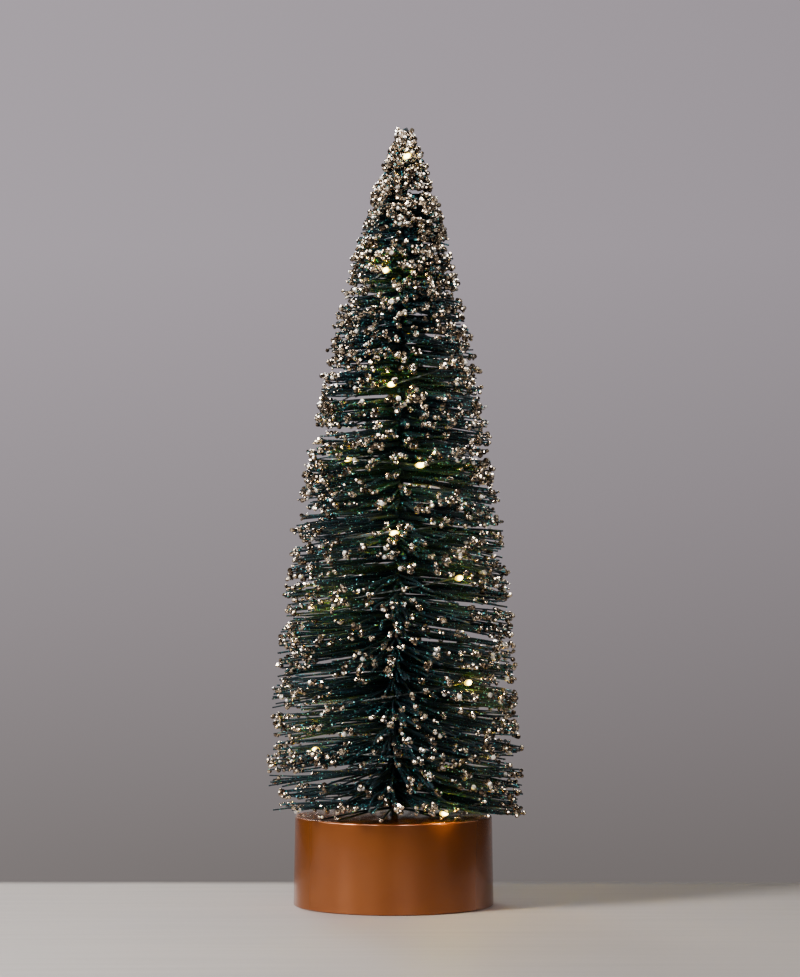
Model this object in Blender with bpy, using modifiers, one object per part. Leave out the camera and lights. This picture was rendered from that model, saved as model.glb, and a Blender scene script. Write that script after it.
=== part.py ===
"""Tabletop bottle-brush tree with a string of micro lights on a round battery base.

Metres, +Z up, +X to the right and the front towards -Y. The base stands on Z = 0, centred on the axis.
"""

from math import cos, hypot, pi, radians, sin, sqrt, tau

import bmesh
import bpy
from mathutils import Matrix, Vector

GAP = 0.0003  # between pieces that touch
THROUGH = 0.001  # how far a cutter runs past the face it opens
BITE = 0.0005  # how far a joined shape sinks into its neighbour

# Base housing: a cup with its mouth down
BASE_RADIUS = 0.045
BASE_HEIGHT = 0.040
BASE_DRAFT = 0.0007  # the top is this much smaller in radius
BASE_WALL = 0.0020
BASE_TOP = 0.0022
BASE_EDGE = 0.0010  # rounding of the top rim
BASE_STEPS = 72

# Cover under the base, set up inside the rim
COVER_RECESS = 0.0025
COVER_THICKNESS = 0.0020
COVER_FIT = 0.0004  # clearance to the housing wall
SCOOP_RADIUS = 0.0055
SCOOP_DEPTH = 0.0011

# Batteries, three in a row
CELL_DIAMETER = 0.0145
CELL_LENGTH = 0.0505  # with its button
CELL_BUTTON_LENGTH = 0.0011
CELL_BUTTON_DIAMETER = 0.0055
CELL_COUNT = 3
CELL_SPACE = 0.0005  # between cells, and around them
CELL_STEPS = 20

# Battery bay, contacts and springs
BAY_WALL = 0.0015
PLATE_THICKNESS = 0.0004
PLATE_WIDTH = 0.0090
PLATE_HEIGHT = 0.0100
SPRING_LENGTH = 0.0046
SPRING_WIRE = 0.0007
SPRING_RADIUS = 0.0038  # at the plate; it narrows towards the cell
SPRING_TIP_RADIUS = 0.0022
SPRING_TURNS = 3
SPRING_POINTS = 9  # in a turn

# Battery door, which swings on two tabs behind the bay
DOOR_FIT = 0.0003
TAB_WIDTH = 0.0050
TAB_THICKNESS = 0.0012
TAB_REACH = 0.0025  # past the edge that it hooks over
TAB_SPREAD = 0.0140  # each tab from the middle
TAB_ROOT = 0.0020
TAB_SHOULDER = 0.0004  # the root stands this far past the tab
LATCH_WIDTH = 0.0090
LATCH_LENGTH = 0.0080
LATCH_SLIT = 0.0008

# Slide switch behind the bay
SWITCH_TRAVEL = 0.0030
KNOB_LENGTH = 0.0030
KNOB_WIDTH = 0.0024
KNOB_CLEAR = 0.0013  # from the table to the knob's end
FLANGE_LENGTH = 0.0070
FLANGE_WIDTH = 0.0040
FLANGE_THICKNESS = 0.0014
SWITCH_WALL = 0.0012
SWITCH_HEIGHT = 0.0055
SWITCH_FIT = 0.0003

# Circuit board on top of the switch
BOARD_LENGTH = 0.0240
BOARD_WIDTH = 0.0100
BOARD_THICKNESS = 0.0012
BOARD_CLEAR = 0.0012  # to the bay
BOARD_POST_RADIUS = 0.0014
BOARD_POST_INSET = 0.0020  # from the board's end
CHIP_SIZE = (0.0050, 0.0040, 0.0015)
CHIP_X = -0.0050
RESISTOR_RADIUS = 0.0011
RESISTOR_LENGTH = 0.0060
RESISTOR_X = 0.0070

# Cover screws and what they go into
SCREW_SHANK_RADIUS = 0.0011
SCREW_HEAD_RADIUS = 0.0024
SCREW_HEAD_HEIGHT = 0.0016
SCREW_SLOT_WIDTH = 0.0006
SCREW_SLOT_DEPTH = 0.0008
SCREW_BITE = 0.0080  # length in the boss
PAD_RADIUS = 0.0038
PAD_FLOOR = 0.0012  # under the head
PAD_CLEAR = 0.0004  # to the bay and to the cover's edge
BOSS_RADIUS = 0.0030

# Twisted trunk in its socket
TREE_HEIGHT = 0.350  # from the table to the tip
LEAN = radians(1.0)  # the trunk tips this much towards +X
STRAND_RADIUS = 0.00112
STRAND_PITCH = 0.0140
STRAND_POINTS = 8  # in a turn
SOCKET_RADIUS = 0.0066
SOCKET_CLEAR = 0.0023  # over the bay
GLUE_ROOF = 0.0045  # from the glue's top to the base's ceiling
GLUE_THICKNESS = 0.0016

# Bristles: the brush's outline, from its widest at the bottom to the tip
BRUSH_RADIUS = 0.0583
BRUSH_CLEAR = 0.0045  # over the base
BRUSH_FULLNESS = 1.6
BRUSH_BLUNTNESS = 0.74
BRUSH_END = 0.0040  # the bristles stop this far under the tip
GROOVE = 0.0060  # the parting that the string lies in
SECTIONS = 24  # in a turn
THINNEST = 0.0010  # where the lowest flight of bristles begins

# String of lights, wound up the tree. Each light is at (turn, share of the brush's height): turn 0
# faces the front and turn 0.25 faces +X.
LIGHTS = (
    (-0.917, 0.000),
    (-0.500, 0.040),
    (-0.146, 0.085),
    (0.306, 0.070),
    (0.660, 0.118),
    (1.136, 0.186),
    (1.500, 0.240),
    (1.886, 0.301),
    (2.123, 0.337),
    (2.560, 0.366),
    (2.992, 0.400),
    (3.420, 0.455),
    (3.879, 0.507),
    (4.043, 0.499),
    (4.500, 0.557),
    (4.978, 0.616),
    (5.450, 0.697),
    (5.940, 0.784),
    (6.480, 0.872),
    (7.017, 0.956),
)
# The wire before the first light, in the leaning frame: off the board, up through the lead hole
# behind the trunk, and forward under the brush
LEAD_IN = (
    (0.0010, 0.0310, -0.0275),
    (0.0010, 0.0305, -0.0200),
    (0.0008, 0.0280, -0.0138),
    (0.0004, 0.0220, -0.0100),
    (0.0000, 0.0140, -0.0075),
    (0.0000, 0.0095, -0.0040),
    (0.0000, 0.0095, -0.0005),
    (0.0012, 0.0088, 0.0014),
    (0.0050, 0.0065, 0.0021),
    (0.0100, 0.0010, 0.0023),
    (0.0150, -0.0090, 0.0025),
    (0.0185, -0.0200, 0.0028),
    (0.0205, -0.0300, 0.0036),
)
STRING_DEPTH = 0.72  # share of the brush's radius at which the string lies
STRING_RADIUS = 0.0005
STRING_POINTS = 24  # in a turn
GROOVE_RUN_ON = 0.15  # turns of parting past the last light
LIGHT_RADIUS = 0.0013
LIGHT_LENGTH = 0.0045
LEAD_HOLE_RADIUS = 0.0015
LEAD_HOLE_Y = 0.0095
HOOKUP_RADIUS = 0.0006

# Worked out from the sizes above
COVER_UNDER = COVER_RECESS
COVER_UPPER = COVER_UNDER + COVER_THICKNESS
BASE_CEILING = BASE_HEIGHT - BASE_TOP
BASE_INSIDE = BASE_RADIUS - BASE_DRAFT - BASE_WALL
CELL_PITCH = CELL_DIAMETER + CELL_SPACE
CELL_Z = COVER_UPPER + CELL_SPACE + CELL_DIAMETER / 2
BAY_WIDTH = CELL_COUNT * CELL_DIAMETER + (CELL_COUNT + 1) * CELL_SPACE
BAY_LENGTH = CELL_LENGTH + SPRING_LENGTH + 2 * PLATE_THICKNESS + 6 * GAP
BAY_CEILING = CELL_Z + CELL_DIAMETER / 2 + CELL_SPACE
TAB_UNDER = COVER_THICKNESS + GAP
TAB_SWEEP = hypot(TAB_REACH, TAB_UNDER + TAB_THICKNESS)
SWITCH_UNDER = COVER_UPPER + GAP
SWITCH_UPPER = SWITCH_UNDER + SWITCH_HEIGHT
BOARD_UNDER = SWITCH_UPPER + GAP
BOARD_UPPER = BOARD_UNDER + BOARD_THICKNESS
SWITCH_Y = BAY_WIDTH / 2 + BAY_WALL + BOARD_CLEAR + BOARD_WIDTH / 2
COVER_RADIUS = BASE_INSIDE - COVER_FIT
HEAD_SEAT = COVER_UNDER + SCREW_HEAD_HEIGHT + GAP
PAD_UPPER = max(HEAD_SEAT + PAD_FLOOR, COVER_UPPER + BITE)
BOSS_UNDER = PAD_UPPER + GAP
TRUNK_RADIUS = 2 * STRAND_RADIUS + GAP / 2
SOCKET_UNDER = BAY_CEILING + BAY_WALL + SOCKET_CLEAR
GLUE_TOP = BASE_CEILING - GLUE_ROOF
BRUSH_BOTTOM = BASE_HEIGHT + BRUSH_CLEAR
BRUSH_TOP = TREE_HEIGHT - BRUSH_END
BRUSH_INSIDE = TRUNK_RADIUS + GAP
SCREW_Y = BAY_WIDTH / 2 + max(BAY_WALL, TAB_REACH) + PAD_CLEAR + PAD_RADIUS
SCREW_X = sqrt((COVER_RADIUS - PAD_CLEAR - PAD_RADIUS) ** 2 - SCREW_Y**2)
SCREW_PLACES = [(x, y) for x in (-SCREW_X, SCREW_X) for y in (-SCREW_Y, SCREW_Y)]


def clear_scene():
    for obj in list(bpy.data.objects):
        bpy.data.objects.remove(obj)


def new_collection(name):
    collection = bpy.data.collections.new(name)
    bpy.context.scene.collection.children.link(collection)
    return collection


clear_scene()
PARTS = new_collection("tabletop_tree")
CUTTERS = new_collection("cutters")


def material(name, colour, roughness, metallic=0.0):
    made = bpy.data.materials.new(name)
    made.use_nodes = True
    shader = made.node_tree.nodes["Principled BSDF"]
    shader.inputs["Base Color"].default_value = (*colour, 1)
    shader.inputs["Roughness"].default_value = roughness
    shader.inputs["Metallic"].default_value = metallic
    made.diffuse_color = (*colour, 1)
    return made


COPPER = material("copper_gloss", (0.36, 0.11, 0.035), 0.16, 0.9)
COVER_BLACK = material("cover_black", (0.02, 0.02, 0.022), 0.5)
CELL_SLEEVE = material("cell_sleeve", (0.05, 0.09, 0.16), 0.3, 0.3)
NICKEL = material("nickel", (0.65, 0.64, 0.62), 0.25, 1.0)
SWITCH_BLACK = material("switch_black", (0.03, 0.03, 0.03), 0.4)
BOARD_GREEN = material("board_green", (0.02, 0.16, 0.06), 0.4)
CHIP_BLACK = material("chip_black", (0.02, 0.02, 0.02), 0.45)
RESISTOR_TAN = material("resistor_tan", (0.55, 0.38, 0.2), 0.5)
WIRE_RED = material("wire_red", (0.5, 0.02, 0.02), 0.45)
WIRE_BLACK = material("wire_black", (0.015, 0.015, 0.015), 0.45)
SCREW_STEEL = material("screw_steel", (0.55, 0.55, 0.55), 0.3, 1.0)
TRUNK_WIRE = material("trunk_wire", (0.05, 0.09, 0.08), 0.4, 0.8)
GLUE = material("hot_glue", (0.75, 0.72, 0.6), 0.4)
BRISTLE = material("bristle_teal", (0.006, 0.035, 0.04), 0.6)
STRING_WIRE = material("string_wire", (0.09, 0.2, 0.13), 0.35, 0.6)
LIGHT_DROP = material("light_drop", (1.0, 0.82, 0.5), 0.15)


def add(name, data, finish=None, parent=None):
    """A new object: a sub-part when it has a finish, or a cutter when it has none."""
    obj = bpy.data.objects.new(name, data)
    if finish is None:
        CUTTERS.objects.link(obj)
        obj.hide_render = True
        obj.display_type = "WIRE"
    else:
        PARTS.objects.link(obj)
        data.materials.append(finish)
    obj.parent = parent
    return obj


def mesh_from(name, bm):
    mesh = bpy.data.meshes.new(name)
    bm.to_mesh(mesh)
    bm.free()
    return mesh


def box(name, size, centre, finish=None, parent=None):
    bm = bmesh.new()
    bmesh.ops.create_cube(bm, size=1, matrix=Matrix.Diagonal((*size, 1)))
    obj = add(name, mesh_from(name, bm), finish, parent)
    obj.location = centre
    return obj


def cylinders(name, radius, low, high, places, finish=None, parent=None, segments=24):
    """Upright cylinders of one size, one at each (x, y), from one height to another."""
    bm = bmesh.new()
    for x, y in places:
        bmesh.ops.create_cone(
            bm,
            cap_ends=True,
            segments=segments,
            radius1=radius,
            radius2=radius,
            depth=high - low,
            matrix=Matrix.Translation((x, y, (low + high) / 2)),
        )
    return add(name, mesh_from(name, bm), finish, parent)


def turned(name, profile, steps, finish=None, parent=None):
    """A closed profile of (radius, height) points turned about its object's Z axis."""
    bm = bmesh.new()
    points = [bm.verts.new((radius, 0, height)) for radius, height in profile]
    for a, b in zip(points, points[1:] + points[:1]):
        if a.co.x > 0 or b.co.x > 0:
            bm.edges.new((a, b))
    obj = add(name, mesh_from(name, bm), finish, parent)
    screw = obj.modifiers.new("turn", "SCREW")
    screw.steps = screw.render_steps = steps
    screw.use_merge_vertices = True
    screw.merge_threshold = 0.00001
    return obj


def tube(name, points, radius, finish, parent=None):
    curve = bpy.data.curves.new(name, "CURVE")
    curve.dimensions = "3D"
    curve.bevel_depth = radius
    curve.bevel_resolution = 2
    curve.use_fill_caps = True
    spline = curve.splines.new("POLY")
    spline.points.add(len(points) - 1)
    for target, point in zip(spline.points, points):
        target.co = (*point, 1)
    return add(name, curve, finish, parent)


def boolean(obj, tool, operation):
    modifier = obj.modifiers.new(tool.name, "BOOLEAN")
    modifier.operation = operation
    modifier.object = tool


def cut(obj, *tools):
    for tool in tools:
        boolean(obj, tool, "DIFFERENCE")


def join(obj, *tools):
    for tool in tools:
        boolean(obj, tool, "UNION")


def lean_frame():
    """An empty on the base's top that carries the tree, tipped by its lean."""
    frame = bpy.data.objects.new("tree_lean", None)
    PARTS.objects.link(frame)
    frame.location = (0, 0, BASE_HEIGHT)
    frame.rotation_euler = (0, LEAN, 0)
    return frame


def above_base(height):
    """A height above the table as the leaning frame has it."""
    return height - BASE_HEIGHT


def base_housing(tree):
    top_radius = BASE_RADIUS - BASE_DRAFT
    edge = [
        (
            top_radius - BASE_EDGE + BASE_EDGE * cos(turn),
            BASE_HEIGHT - BASE_EDGE + BASE_EDGE * sin(turn),
        )
        for turn in (0, pi / 8, pi / 4, 3 * pi / 8, pi / 2)
    ]
    profile = [
        (BASE_RADIUS - BASE_WALL, 0),
        (BASE_RADIUS, 0),
        *edge,
        (0, BASE_HEIGHT),
        (0, BASE_CEILING),
        (BASE_INSIDE, BASE_CEILING),
    ]
    housing = turned("base_housing", profile[::-1], BASE_STEPS, COPPER)
    socket = cylinders("socket", SOCKET_RADIUS, SOCKET_UNDER, BASE_CEILING + BITE, [(0, 0)])
    bosses = cylinders("bosses", BOSS_RADIUS, BOSS_UNDER, BASE_CEILING + BITE, SCREW_PLACES)
    join(housing, socket, bosses)
    stem_bore = cylinders(
        "stem_bore",
        TRUNK_RADIUS + GAP,
        above_base(SOCKET_UNDER - THROUGH),
        above_base(BASE_HEIGHT + THROUGH),
        [(0, 0)],
        parent=tree,
    )
    glue_bore = cylinders(
        "glue_bore",
        TRUNK_RADIUS + GLUE_THICKNESS + 2 * GAP,
        above_base(SOCKET_UNDER - THROUGH),
        above_base(GLUE_TOP + GAP),
        [(0, 0)],
        parent=tree,
    )
    lead_hole = cylinders(
        "lead_hole",
        LEAD_HOLE_RADIUS,
        BASE_CEILING - THROUGH,
        BASE_HEIGHT + THROUGH,
        [(0, LEAD_HOLE_Y)],
    )
    pilots = cylinders(
        "pilots",
        SCREW_SHANK_RADIUS + GAP,
        BOSS_UNDER - THROUGH,
        BOSS_UNDER + SCREW_BITE + THROUGH,
        SCREW_PLACES,
    )
    cut(housing, stem_bore, glue_bore, lead_hole, pilots)


def bottom_cover():
    cover = cylinders(
        "bottom_cover",
        COVER_RADIUS,
        COVER_UNDER,
        COVER_UPPER,
        [(0, 0)],
        COVER_BLACK,
        segments=BASE_STEPS,
    )
    bay_height = BAY_CEILING + BAY_WALL - COVER_UPPER + BITE
    bay = box(
        "bay",
        (BAY_LENGTH + 2 * BAY_WALL, BAY_WIDTH + 2 * BAY_WALL, bay_height),
        (0, 0, COVER_UPPER - BITE + bay_height / 2),
    )
    pads = cylinders("pads", PAD_RADIUS, COVER_UPPER - BITE, PAD_UPPER, SCREW_PLACES)
    post_x = BOARD_LENGTH / 2 - BOARD_POST_INSET
    posts = cylinders(
        "board_posts",
        BOARD_POST_RADIUS,
        COVER_UPPER - BITE,
        BOARD_UNDER - GAP,
        [(-post_x, SWITCH_Y), (post_x, SWITCH_Y)],
    )
    join(cover, bay, pads, posts)

    pocket_height = BAY_CEILING - COVER_UNDER + THROUGH
    pocket = box(
        "pocket",
        (BAY_LENGTH, BAY_WIDTH, pocket_height),
        (0, 0, BAY_CEILING - pocket_height / 2),
    )
    slot_height = TAB_SWEEP + GAP - COVER_THICKNESS
    tab_slots = [
        box(
            f"tab_slot_{side}",
            (TAB_WIDTH + 2 * GAP, BAY_WALL + 2 * THROUGH, slot_height),
            (x, BAY_WIDTH / 2 + BAY_WALL / 2, COVER_UPPER + slot_height / 2),
        )
        for side, x in (("left", -TAB_SPREAD), ("right", TAB_SPREAD))
    ]
    seats = cylinders(
        "head_seats", SCREW_HEAD_RADIUS + GAP, COVER_UNDER - THROUGH, HEAD_SEAT, SCREW_PLACES
    )
    holes = cylinders(
        "shank_holes",
        SCREW_SHANK_RADIUS + GAP,
        COVER_UNDER - THROUGH,
        PAD_UPPER + THROUGH,
        SCREW_PLACES,
    )
    switch_slot = box(
        "switch_slot",
        (
            KNOB_LENGTH + SWITCH_TRAVEL + 2 * SWITCH_FIT,
            KNOB_WIDTH + 2 * SWITCH_FIT,
            COVER_THICKNESS + 2 * THROUGH,
        ),
        (-SWITCH_TRAVEL / 2, SWITCH_Y, (COVER_UNDER + COVER_UPPER) / 2),
    )
    scoop = cylinders(
        "finger_scoop",
        SCOOP_RADIUS,
        COVER_UNDER - THROUGH,
        COVER_UNDER + SCOOP_DEPTH,
        [(0, -BAY_WIDTH / 2)],
    )
    lead_ways = [
        box(
            f"lead_way_{side}",
            (BAY_WALL + 2 * THROUGH, 2 * HOOKUP_RADIUS + 2 * GAP, 2 * HOOKUP_RADIUS + 2 * GAP),
            (x, y, CELL_Z),
        )
        for side, x, y in (
            ("right", BAY_LENGTH / 2 + BAY_WALL / 2, -CELL_PITCH),
            ("left", -BAY_LENGTH / 2 - BAY_WALL / 2, CELL_PITCH),
        )
    ]
    cut(cover, pocket, *tab_slots, seats, holes, switch_slot, scoop, *lead_ways)


def battery_door():
    """Swings down about its rear edge. The two tabs hook over the cover behind the bay."""
    hinge = (0, BAY_WIDTH / 2, COVER_UNDER)
    width = BAY_WIDTH - 2 * DOOR_FIT
    bm = bmesh.new()
    plate_size = Matrix.Diagonal((BAY_LENGTH - 2 * DOOR_FIT, width, COVER_THICKNESS, 1))
    plate_place = Matrix.Translation((0, -DOOR_FIT - width / 2, COVER_THICKNESS / 2))
    bmesh.ops.create_cube(bm, size=1, matrix=plate_place @ plate_size)
    door = add("battery_door", mesh_from("battery_door", bm), COVER_BLACK)
    door.location = hinge

    root_top = TAB_UNDER + TAB_THICKNESS + TAB_SHOULDER
    root_height = root_top - COVER_THICKNESS + BITE
    tab_length = TAB_REACH + DOOR_FIT + TAB_ROOT / 2
    for side, x in (("left", -TAB_SPREAD), ("right", TAB_SPREAD)):
        root = box(
            f"tab_root_{side}",
            (TAB_WIDTH + 2 * TAB_SHOULDER, TAB_ROOT, root_height),
            (x, -DOOR_FIT - TAB_ROOT / 2, root_top - root_height / 2),
            parent=door,
        )
        tab = box(
            f"tab_{side}",
            (TAB_WIDTH, tab_length, TAB_THICKNESS),
            (x, TAB_REACH - tab_length / 2, TAB_UNDER + TAB_THICKNESS / 2),
            parent=door,
        )
        join(door, root, tab)

    for side, x in (("left", -LATCH_WIDTH / 2), ("right", LATCH_WIDTH / 2)):
        slit = box(
            f"latch_slit_{side}",
            (LATCH_SLIT, LATCH_LENGTH + THROUGH, COVER_THICKNESS + 2 * THROUGH),
            (x, -DOOR_FIT - width + (LATCH_LENGTH - THROUGH) / 2, COVER_THICKNESS / 2),
            parent=door,
        )
        cut(door, slit)


def cell_places():
    """For each cell, its number, its place across the bay, and which end its button points to."""
    for index in range(CELL_COUNT):
        across = ((CELL_COUNT - 1) / 2 - index) * CELL_PITCH
        yield index + 1, across, 1 if index % 2 == 0 else -1


def spring_points(direction):
    """A spring that narrows along direction, from the origin."""
    count = SPRING_TURNS * SPRING_POINTS
    rise = SPRING_LENGTH - SPRING_WIRE
    for index in range(count + 1):
        share = index / count
        radius = SPRING_RADIUS + (SPRING_TIP_RADIUS - SPRING_RADIUS) * share
        turn = tau * SPRING_TURNS * share
        along = direction * (SPRING_WIRE / 2 + rise * share)
        yield along, radius * cos(turn), radius * sin(turn)


def batteries_and_springs():
    radius = CELL_DIAMETER / 2
    button = CELL_BUTTON_DIAMETER / 2
    shoulder = CELL_LENGTH - CELL_BUTTON_LENGTH
    profile = [
        (0, 0),
        (radius, 0),
        (radius, shoulder),
        (button, shoulder),
        (button, CELL_LENGTH),
        (0, CELL_LENGTH),
    ]
    plate_face = BAY_LENGTH / 2 - GAP - PLATE_THICKNESS
    for number, across, direction in cell_places():
        cell = turned(f"battery_{number}", profile[::-1], CELL_STEPS, CELL_SLEEVE)
        spring_end = -direction * (plate_face - GAP)
        cell.location = (spring_end + direction * (SPRING_LENGTH + GAP), across, CELL_Z)
        cell.rotation_euler = (0, direction * pi / 2, 0)
        spring = tube(
            f"battery_spring_{number}", list(spring_points(direction)), SPRING_WIRE / 2, NICKEL
        )
        spring.location = (spring_end, across, CELL_Z)


def contact_plates():
    """Two plates that bridge neighbouring cells, and one at each end of the row."""
    plate_x = BAY_LENGTH / 2 - GAP - PLATE_THICKNESS / 2
    bridge = PLATE_WIDTH + CELL_PITCH
    places = (
        ("bridge_plate_right", plate_x, CELL_PITCH / 2, bridge),
        ("bridge_plate_left", -plate_x, -CELL_PITCH / 2, bridge),
        ("terminal_plate_positive", plate_x, -CELL_PITCH, PLATE_WIDTH),
        ("terminal_plate_negative", -plate_x, CELL_PITCH, PLATE_WIDTH),
    )
    for name, x, y, width in places:
        box(name, (PLATE_THICKNESS, width, PLATE_HEIGHT), (x, y, CELL_Z), NICKEL)


def slide_switch():
    """The slider is at its ON end, and slides towards -X to switch off."""
    cavity_length = FLANGE_LENGTH + SWITCH_TRAVEL + 2 * SWITCH_FIT
    cavity_width = FLANGE_WIDTH + 2 * SWITCH_FIT
    cavity_height = FLANGE_THICKNESS + 2 * SWITCH_FIT
    middle = -SWITCH_TRAVEL / 2
    housing = box(
        "switch_housing",
        (cavity_length + 2 * SWITCH_WALL, cavity_width + 2 * SWITCH_WALL, SWITCH_HEIGHT),
        (middle, SWITCH_Y, SWITCH_UNDER + SWITCH_HEIGHT / 2),
        SWITCH_BLACK,
    )
    cavity = box(
        "switch_cavity",
        (cavity_length, cavity_width, cavity_height + THROUGH),
        (middle, SWITCH_Y, SWITCH_UNDER + (cavity_height - THROUGH) / 2),
    )
    cut(housing, cavity)

    flange_under = SWITCH_UNDER + SWITCH_FIT
    slider = box(
        "switch_slider",
        (FLANGE_LENGTH, FLANGE_WIDTH, FLANGE_THICKNESS),
        (0, SWITCH_Y, flange_under + FLANGE_THICKNESS / 2),
        SWITCH_BLACK,
    )
    knob_height = flange_under + BITE - KNOB_CLEAR
    knob = box(
        "knob",
        (KNOB_LENGTH, KNOB_WIDTH, knob_height),
        (0, SWITCH_Y, KNOB_CLEAR + knob_height / 2),
    )
    join(slider, knob)


def circuit_board():
    box(
        "switch_board",
        (BOARD_LENGTH, BOARD_WIDTH, BOARD_THICKNESS),
        (0, SWITCH_Y, BOARD_UNDER + BOARD_THICKNESS / 2),
        BOARD_GREEN,
    )
    box(
        "timer_chip",
        CHIP_SIZE,
        (CHIP_X, SWITCH_Y, BOARD_UPPER + GAP + CHIP_SIZE[2] / 2),
        CHIP_BLACK,
    )
    half = RESISTOR_LENGTH / 2
    resistor = cylinders("resistor", RESISTOR_RADIUS, -half, half, [(0, 0)], RESISTOR_TAN, segments=16)
    resistor.location = (RESISTOR_X, SWITCH_Y, BOARD_UPPER + GAP + RESISTOR_RADIUS)
    resistor.rotation_euler = (pi / 2, 0, 0)


def hookup_wires():
    """From each end plate, out through the bay's wall and over the bay to the board."""
    over_bay = BAY_CEILING + BAY_WALL + GAP + 2 * HOOKUP_RADIUS
    outside = BAY_LENGTH / 2 + BAY_WALL + 3 * HOOKUP_RADIUS
    plate_back = BAY_LENGTH / 2
    over_board = BOARD_UPPER + GAP
    board_y = SWITCH_Y - BOARD_WIDTH / 2 + 2 * HOOKUP_RADIUS
    for name, side, cell_y, board_x, finish in (
        ("red_wire", 1, -CELL_PITCH, BOARD_LENGTH / 8, WIRE_RED),
        ("black_wire", -1, CELL_PITCH, -BOARD_LENGTH / 24, WIRE_BLACK),
    ):
        points = [
            (side * plate_back, cell_y, CELL_Z),
            (side * outside, cell_y, CELL_Z),
            (side * (outside + HOOKUP_RADIUS), cell_y, CELL_Z + 4 * HOOKUP_RADIUS),
            (side * outside, cell_y, over_bay - 2 * HOOKUP_RADIUS),
            (side * BAY_LENGTH / 2, cell_y + 2 * HOOKUP_RADIUS, over_bay),
            (side * BAY_LENGTH / 4, BAY_WIDTH / 3, over_bay),
            (board_x, BAY_WIDTH / 2 + BAY_WALL, over_bay),
            (board_x, board_y, over_bay - 4 * HOOKUP_RADIUS),
            (board_x, board_y, over_board),
        ]
        tube(name, points, HOOKUP_RADIUS, finish)


def cover_screws():
    head_top = SCREW_HEAD_HEIGHT
    length = PAD_UPPER - HEAD_SEAT + SCREW_BITE
    profile = [
        (0, 0),
        (SCREW_HEAD_RADIUS, 0),
        (SCREW_HEAD_RADIUS, head_top),
        (SCREW_SHANK_RADIUS, head_top),
        (SCREW_SHANK_RADIUS, head_top + length),
        (0, head_top + length),
    ]
    for number, (x, y) in enumerate(SCREW_PLACES, 1):
        screw = turned(f"cover_screw_{number}", profile[::-1], 16, SCREW_STEEL)
        screw.location = (x, y, COVER_UNDER)
        slots = [
            box(f"slot_{number}_{index}", size, (0, 0, 0), parent=screw)
            for index, size in enumerate(
                (
                    (2 * SCREW_SHANK_RADIUS, SCREW_SLOT_WIDTH, 2 * SCREW_SLOT_DEPTH),
                    (SCREW_SLOT_WIDTH, 2 * SCREW_SHANK_RADIUS, 2 * SCREW_SLOT_DEPTH),
                )
            )
        ]
        cut(screw, *slots)


def trunk(tree):
    """Two wires twisted together, with the bristles between them."""
    bottom = SOCKET_UNDER + GAP
    twist_radius = STRAND_RADIUS + GAP / 2
    count = round((TREE_HEIGHT - bottom) / STRAND_PITCH * STRAND_POINTS)
    for side, start in (("left", 0.0), ("right", pi)):
        points = []
        for index in range(count + 1):
            height = bottom + (TREE_HEIGHT - bottom) * index / count
            turn = start + tau * (height - bottom) / STRAND_PITCH
            points.append((twist_radius * cos(turn), twist_radius * sin(turn), above_base(height)))
        tube(f"trunk_wire_{side}", points, STRAND_RADIUS, TRUNK_WIRE, tree)


def stem_glue(tree):
    low = above_base(SOCKET_UNDER + GAP)
    high = above_base(GLUE_TOP)
    inside = TRUNK_RADIUS + GAP
    outside = inside + GLUE_THICKNESS
    profile = [(inside, low), (inside, high), (outside, high), (outside, low)]
    turned("stem_glue", profile, 32, GLUE, tree)


def brush_radius(height):
    """The outline of the brush: a blunt ogive, widest at the bottom."""
    share = (height - BRUSH_BOTTOM) / (TREE_HEIGHT - BRUSH_BOTTOM)
    share = min(max(share, 0), 1)
    return BRUSH_RADIUS * (1 - share**BRUSH_FULLNESS) ** BRUSH_BLUNTNESS


def string_height(turn):
    """Height of the string at a turn, straight from light to light."""
    turn = min(max(turn, LIGHTS[0][0]), LIGHTS[-1][0])
    for (start, low), (end, high) in zip(LIGHTS, LIGHTS[1:]):
        if turn <= end:
            break
    share = low + (high - low) * (turn - start) / (end - start)
    return BRUSH_BOTTOM + share * (TREE_HEIGHT - BRUSH_BOTTOM)


def around(turn, radius, height):
    """A point of the leaning frame: turn 0 faces the front, and 0.25 faces +X."""
    return Vector((radius * sin(tau * turn), -radius * cos(tau * turn), above_base(height)))


def string_point(turn, outwards=0.0):
    height = string_height(turn)
    return around(turn, STRING_DEPTH * brush_radius(height) + outwards, height)


def flight_ends(turn):
    """Lowest and highest bristles at a turn, between one winding of the string and the next."""
    low = BRUSH_BOTTOM
    high = BRUSH_TOP
    if turn >= LIGHTS[0][0]:
        low = max(low, string_height(turn) + GROOVE / 2)
    if turn + 1 <= LIGHTS[-1][0] + GROOVE_RUN_ON:
        high = min(high, string_height(turn + 1) - GROOVE / 2)
    return low, high


def bristles(tree):
    """One flight of bristles that winds up the trunk, parted where the string lies in it."""
    last = LIGHTS[-1][0] + GROOVE_RUN_ON
    first = LIGHTS[0][0] - 1
    turns = [first + index / SECTIONS for index in range(int((last - first) * SECTIONS))]
    bm = bmesh.new()
    sections = []
    for turn in turns:
        low, high = flight_ends(turn)
        if high - low < THINNEST:
            continue
        middle = (low + high) / 2
        outline = (
            (BRUSH_INSIDE, low),
            (brush_radius(low), low),
            (brush_radius(middle), middle),
            (brush_radius(high), high),
            (BRUSH_INSIDE, high),
        )
        sections.append([bm.verts.new(around(turn, radius, z)) for radius, z in outline])
    for before, after in zip(sections, sections[1:]):
        for corner in range(len(before)):
            following = (corner + 1) % len(before)
            bm.faces.new((before[corner], after[corner], after[following], before[following]))
    bm.faces.new(sections[0])
    bm.faces.new(sections[-1][::-1])
    bmesh.ops.triangulate(bm, faces=bm.faces)
    bmesh.ops.recalc_face_normals(bm, faces=bm.faces)
    add("bristles", mesh_from("bristles", bm), BRISTLE, tree)


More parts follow.
